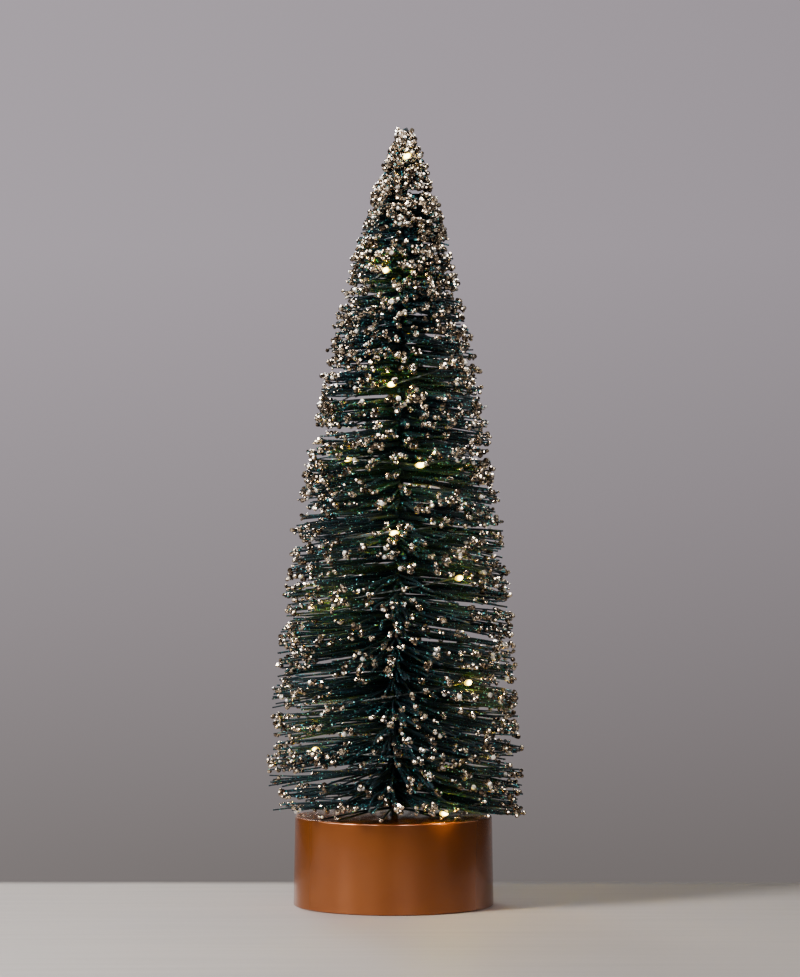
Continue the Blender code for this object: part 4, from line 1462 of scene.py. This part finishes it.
def pair_tree(material):
    """Two enamelled wires twisted round the route."""
    nodes = GrowTree("Twisted Pair", [GEOMETRY, *sockets("Float", "Radius", "Twist")])
    values = {0: nodes["Geometry"], "Length": nodes.over(nodes["Twist"], STEPS_IN_TWIST)}
    route = nodes.node("GeometryNodeResampleCurve", values, mode="LENGTH").outputs[0]
    length = nodes.node("GeometryNodeSplineParameter").outputs["Length"]
    turn = nodes.times(nodes.over(length, nodes["Twist"]), tau)
    normal = nodes.node("GeometryNodeInputNormal").outputs[0]
    tangent = nodes.node("GeometryNodeInputTangent").outputs[0]
    across = nodes.vector("CROSS_PRODUCT", tangent, normal)
    half = nodes.times(nodes["Radius"], 0.5)
    wires = []
    for start in (0.0, pi):
        phase = nodes.plus(turn, start)
        aside = nodes.vector(
            "ADD",
            nodes.scaled(normal, nodes.math("COSINE", phase)),
            nodes.scaled(across, nodes.math("SINE", phase)),
        )
        wire = nodes.moved(route, offset=nodes.scaled(aside, half))
        wires.append(nodes.tube(wire, half, STRAND_SIDES))
    return nodes.finish(nodes.joined(*wires), material)


def enamel_finish(colour):
    """Green enamel on copper wire, worn thin in places."""
    made, nodes, shader = finish_material("wire_enamel", colour, 0.35, 0.3)
    thin = nodes.span(noise(nodes, object_place(nodes), 700, 3), 0.55, 0.72, 0, 1)
    nodes.put(shader.inputs["Base Color"], blended(nodes, thin, colour, (0.014, 0.012, 0.006)))
    shader.inputs["Coat Weight"].default_value = 0.3
    return made


def drop_finish(colour, strength):
    """Clear resin over a lit chip that faces outwards: white over it, and yellow round it."""
    made, nodes, shader = finish_material("light_resin", (0.8, 0.55, 0.10), 0.12)
    aside = attribute(nodes, "aside")
    far = nodes.span(aside, 0.20, 0.70, 0, 1)
    nodes.put(shader.inputs["Emission Color"], blended(nodes, far, (1.0, 0.76, 0.30), colour))
    fading = nodes.span(aside, 0.15, 0.75, strength, strength * 0.06)
    nodes.put(shader.inputs["Emission Strength"], fading)
    return made


def glow_light(name, place, string):
    """What a lit drop throws on the bristles round it."""
    data = bpy.data.lights.new(name, "POINT")
    data.shadow_soft_size = string.light_radius * 1.25
    data.energy = string.glow
    data.color = tuple(string.light_colour)
    light = new_object(name, data)
    light.location = place
    light.visible_camera = False


class TREE_OT_lights(bpy.types.Operator):
    """Makes the wound string and its lights"""

    bl_idname = "bottle_brush.lights"
    bl_label = "String of Lights"

    def execute(self, context):
        string = settings().string
        lean = lean_matrix()
        curve = poly_curve("string_route", [[lean @ point for point in string_route()]])
        tree = pair_tree(enamel_finish(tuple(string.enamel)))
        values = {"Radius": string.radius * 0.94, "Twist": string.twist}
        mesh = grown("string_pair", tree, values, curve)
        add_piece("string_pair", mesh, stands_for=["light_string_wire"])

        material = drop_finish(tuple(string.light_colour), string.strength)
        parts = bmesh.new()
        aside = parts.verts.layers.float.new("aside")
        radius, half = string.light_radius, string.light_length / 2
        beside = string.radius + DROP_STAND + radius
        step = 1 / 96
        for number, (turn, _) in enumerate(LIGHTS, 1):
            along = (string_point(turn + step) - string_point(turn - step)).normalized()
            centre = lean @ string_point(turn, beside)
            face = (lean.to_3x3() @ along).to_track_quat("Z", "Y").to_matrix().to_4x4()
            oval = Matrix.Translation(centre) @ face @ Matrix.Diagonal((radius, radius, half, 1))
            ball = bmesh.ops.create_uvsphere(
                parts, u_segments=DROP_SEGMENTS, v_segments=DROP_RINGS, radius=1
            )["verts"]
            bmesh.ops.transform(parts, matrix=oval, verts=ball)
            outwards = (centre - lean @ string_point(turn)).normalized()
            for vert in ball:
                vert[aside] = 1 - (vert.co - centre).normalized().dot(outwards)
            glow_light(f"glow_{number:02d}", centre, string)
        mesh = mesh_of("light_drops", parts)
        mesh.polygons.foreach_set("use_smooth", [True] * len(mesh.polygons))
        names = [f"light_{number:02d}" for number in range(1, len(LIGHTS) + 1)]
        drops = add_piece("light_drops", mesh, material, names)
        drops.visible_shadow = False
        return {"FINISHED"}


# The stage


def painted_surround_colour(nodes, rise, aside):
    """Plain grey with painted light and shade: paler high up, and darker towards the right."""
    stage = settings().stage
    colour = blended(nodes, rise, tuple(stage.wall_low), tuple(stage.wall_high))
    return nodes.scaled(colour, nodes.span(aside, -0.20, 0.20, 1.17, 0.86))


def floor_finish(near):
    """Pale limed boards round the object, going over far out and behind into the surround, which glows
    with painted light and shade.
    """
    made, nodes, shader = finish_material("pale_floor", near, 0.55)
    place = nodes.node("ShaderNodeTexCoord").outputs["Object"]
    sides = nodes.node("ShaderNodeSeparateXYZ", {0: place})
    grain = noise(nodes, object_place(nodes, (3, 60, 1)), 2.2, 4, 0.6)
    limed = blended(nodes, nodes.span(grain, 0.35, 0.7, 0, 1), near, shade(near, 0.90))
    nodes.put(shader.inputs["Base Color"], limed)
    shader.inputs["Specular IOR Level"].default_value = 0.2
    # The surround's painted light: it pales with distance, evenly in the reciprocal of it
    from_middle = nodes.vector("LENGTH", place)
    depth = nodes.plus(from_middle, PALE_NEAR)
    rise = nodes.span(nodes.over(-PALE_DROP, depth), *SURROUND, 0, 1)
    aside = nodes.over(sides.outputs["X"], depth)
    colour = painted_surround_colour(nodes, rise, aside)
    # Far out and behind, the floor glows with the same painted light and shade
    far = nodes.node("ShaderNodeEmission", {0: colour, 1: 1.0}).outputs[0]
    behind = nodes.span(sides.outputs["Y"], *TABLE_END, 0, 1)
    away = nodes.span(from_middle, *FAR_FLOOR, 0, 1)
    values = {0: nodes.math("MAXIMUM", behind, away), 1: shader.outputs[0], 2: far}
    mixed = nodes.node("ShaderNodeMixShader", values)
    # Nothing shows of the floor from below, so that the base's underside can be looked at
    under = nodes.node("ShaderNodeNewGeometry").outputs["Backfacing"]
    clear = nodes.tree.nodes.new("ShaderNodeBsdfTransparent").outputs[0]
    whole = nodes.node("ShaderNodeMixShader", {0: under, 1: mixed.outputs[0], 2: clear})
    nodes.put(made.node_tree.nodes["Material Output"].inputs[0], whole.outputs[0])
    return made


def dark_card(name, x, near, far, height):
    """A black card on edge, from front to back, that only shows in reflections."""
    corners = [(x, near, 0), (x, far, 0), (x, far, height), (x, near, height)]
    bm = bmesh.new()
    bm.faces.new([bm.verts.new(corner) for corner in corners])
    card = new_object(name, mesh_of(name, bm))
    made, _, shader = finish_material(name + "_black", (0.02, 0.018, 0.017), 0.9)
    card.data.materials.append(made)
    card.visible_camera = card.visible_diffuse = card.visible_shadow = False


def area_light(name, place, size, power, colour=(1, 1, 1)):
    """A round light turned towards the tree."""
    data = bpy.data.lights.new(name, "AREA")
    data.shape = "DISK"
    data.size = size
    data.energy = power
    data.color = colour
    light = new_object(name, data)
    light.location = place
    light.rotation_euler = (Vector(AIM) - Vector(place)).to_track_quat("-Z", "Y").to_euler()
    return light


class TREE_OT_stage(bpy.types.Operator):
    """Makes the floor, the studio lights and the camera"""

    bl_idname = "bottle_brush.stage"
    bl_label = "Stage"

    def execute(self, context):
        stage = settings().stage
        bm = bmesh.new()
        bmesh.ops.create_circle(bm, cap_ends=True, segments=96, radius=FLOOR_RADIUS)
        floor = new_object("floor", mesh_of("floor", bm))
        floor.data.transform(Matrix.Translation((0, 0, -0.0001)))
        floor.data.materials.append(floor_finish(tuple(stage.table)))

        world = bpy.data.worlds.new("studio")
        bpy.context.scene.world = world
        world.use_nodes = True
        nodes = Nodes(world.node_tree)
        world.node_tree.nodes.clear()
        way = nodes.node("ShaderNodeTexCoord").outputs["Generated"]
        sides = nodes.node("ShaderNodeSeparateXYZ", {0: way})
        rise = nodes.span(sides.outputs["Z"], *SURROUND, 0, 1)
        # The backdrop seen straight on, with its painted light and shade
        wall = painted_surround_colour(nodes, rise, sides.outputs["X"])
        seen = nodes.node("ShaderNodeBackground", {0: wall, 1: 1.0}).outputs[0]
        across = nodes.span(sides.outputs["X"], -0.9, 0.9, stage.room * 1.3, stage.room * 0.45)
        strength = nodes.times(across, nodes.span(sides.outputs["Y"], 0.3, 0.9, 1.0, 2.6))
        warm_white = (1.0, 0.97, 0.94, 1)
        around = nodes.node("ShaderNodeBackground", {0: warm_white, 1: strength}).outputs[0]
        straight = nodes.node("ShaderNodeLightPath").outputs["Is Camera Ray"]
        mixed = nodes.node("ShaderNodeMixShader", {0: straight, 1: around, 2: seen}).outputs[0]
        output = world.node_tree.nodes.new("ShaderNodeOutputWorld")
        nodes.put(output.inputs[0], mixed)

        area_light("key", (-1.45, -0.95, 1.05), 0.55, stage.key, (1.0, 0.97, 0.93))
        area_light("fill", (0.5, -1.7, 1.1), 0.9, stage.fill, (0.95, 0.97, 1.0))
        dark_card("card_right", 0.36, -0.20, 0.7, 0.6)
        dark_card("card_left", -0.40, 0.10, 0.7, 0.6)
        for name, place in (
            ("sparkle_front", (0.35, -1.5, 0.95)),
            ("sparkle_near", (-0.75, -1.4, 1.00)),
            ("sparkle_left", (-1.5, -0.1, 0.95)),
            ("sparkle_right", (1.30, -0.6, 1.20)),
            ("sparkle_side", (1.40, 0.5, 0.95)),
            ("sparkle_back", (-0.6, 1.3, 1.1)),
            ("sparkle_top", (0.3, 0.3, 1.6)),
        ):
            # These only make highlights
            light = area_light(name, place, 0.60, stage.sparkle)
            light.visible_diffuse = False

        data = bpy.data.cameras.new("camera")
        data.lens = stage.lens
        data.sensor_width = 36
        data.clip_start, data.clip_end = 0.05, 50
        camera = new_object("camera", data)
        camera.location = (stage.camera_side, -stage.distance, stage.camera_height)
        camera.rotation_euler = Euler((pi / 2 + stage.tilt, 0, 0))
        bpy.context.scene.camera = camera
        return {"FINISHED"}


# Add-on


class TreeSettings(bpy.types.PropertyGroup):
    """All the tree's settings."""

    base: PointerProperty(type=BaseSettings)
    trunk: PointerProperty(type=TrunkSettings)
    brush: PointerProperty(type=BrushSettings)
    beads: PointerProperty(type=BeadSettings)
    string: PointerProperty(type=StringSettings)
    inside: PointerProperty(type=InsideSettings)
    stage: PointerProperty(type=StageSettings)


OPERATORS = (
    TREE_OT_base,
    TREE_OT_batteries,
    TREE_OT_springs,
    TREE_OT_screws,
    TREE_OT_circuit,
    TREE_OT_trunk,
    TREE_OT_bristles,
    TREE_OT_beads,
    TREE_OT_fallen,
    TREE_OT_lights,
    TREE_OT_stage,
)


class TREE_PT_panel(bpy.types.Panel):
    """Lists the settings and the steps that make the tree"""

    bl_idname = "TREE_PT_panel"
    bl_label = "Bottle-Brush Tree"
    bl_space_type = "VIEW_3D"
    bl_region_type = "UI"
    bl_category = "Bottle-Brush Tree"

    def draw(self, context):
        layout = self.layout
        for operator in OPERATORS:
            layout.operator(operator.bl_idname)
        for label in ("base", "trunk", "brush", "beads", "string", "inside", "stage"):
            box = layout.box()
            box.label(text=label.title())
            group = getattr(settings(), label)
            for name in group.__annotations__:
                box.prop(group, name)


CLASSES = (
    BaseSettings,
    TrunkSettings,
    BrushSettings,
    BeadSettings,
    StringSettings,
    InsideSettings,
    StageSettings,
    TreeSettings,
    *OPERATORS,
    TREE_PT_panel,
)


def register():
    for cls in CLASSES:
        bpy.utils.register_class(cls)
    bpy.types.Scene.bottle_brush_tree = PointerProperty(type=TreeSettings)


def unregister():
    del bpy.types.Scene.bottle_brush_tree
    for cls in reversed(CLASSES):
        bpy.utils.unregister_class(cls)


def main():
    register()
    for operator in OPERATORS:
        group, name = operator.bl_idname.split(".")
        getattr(getattr(bpy.ops, group), name)()


if __name__ == "__main__":
    main()
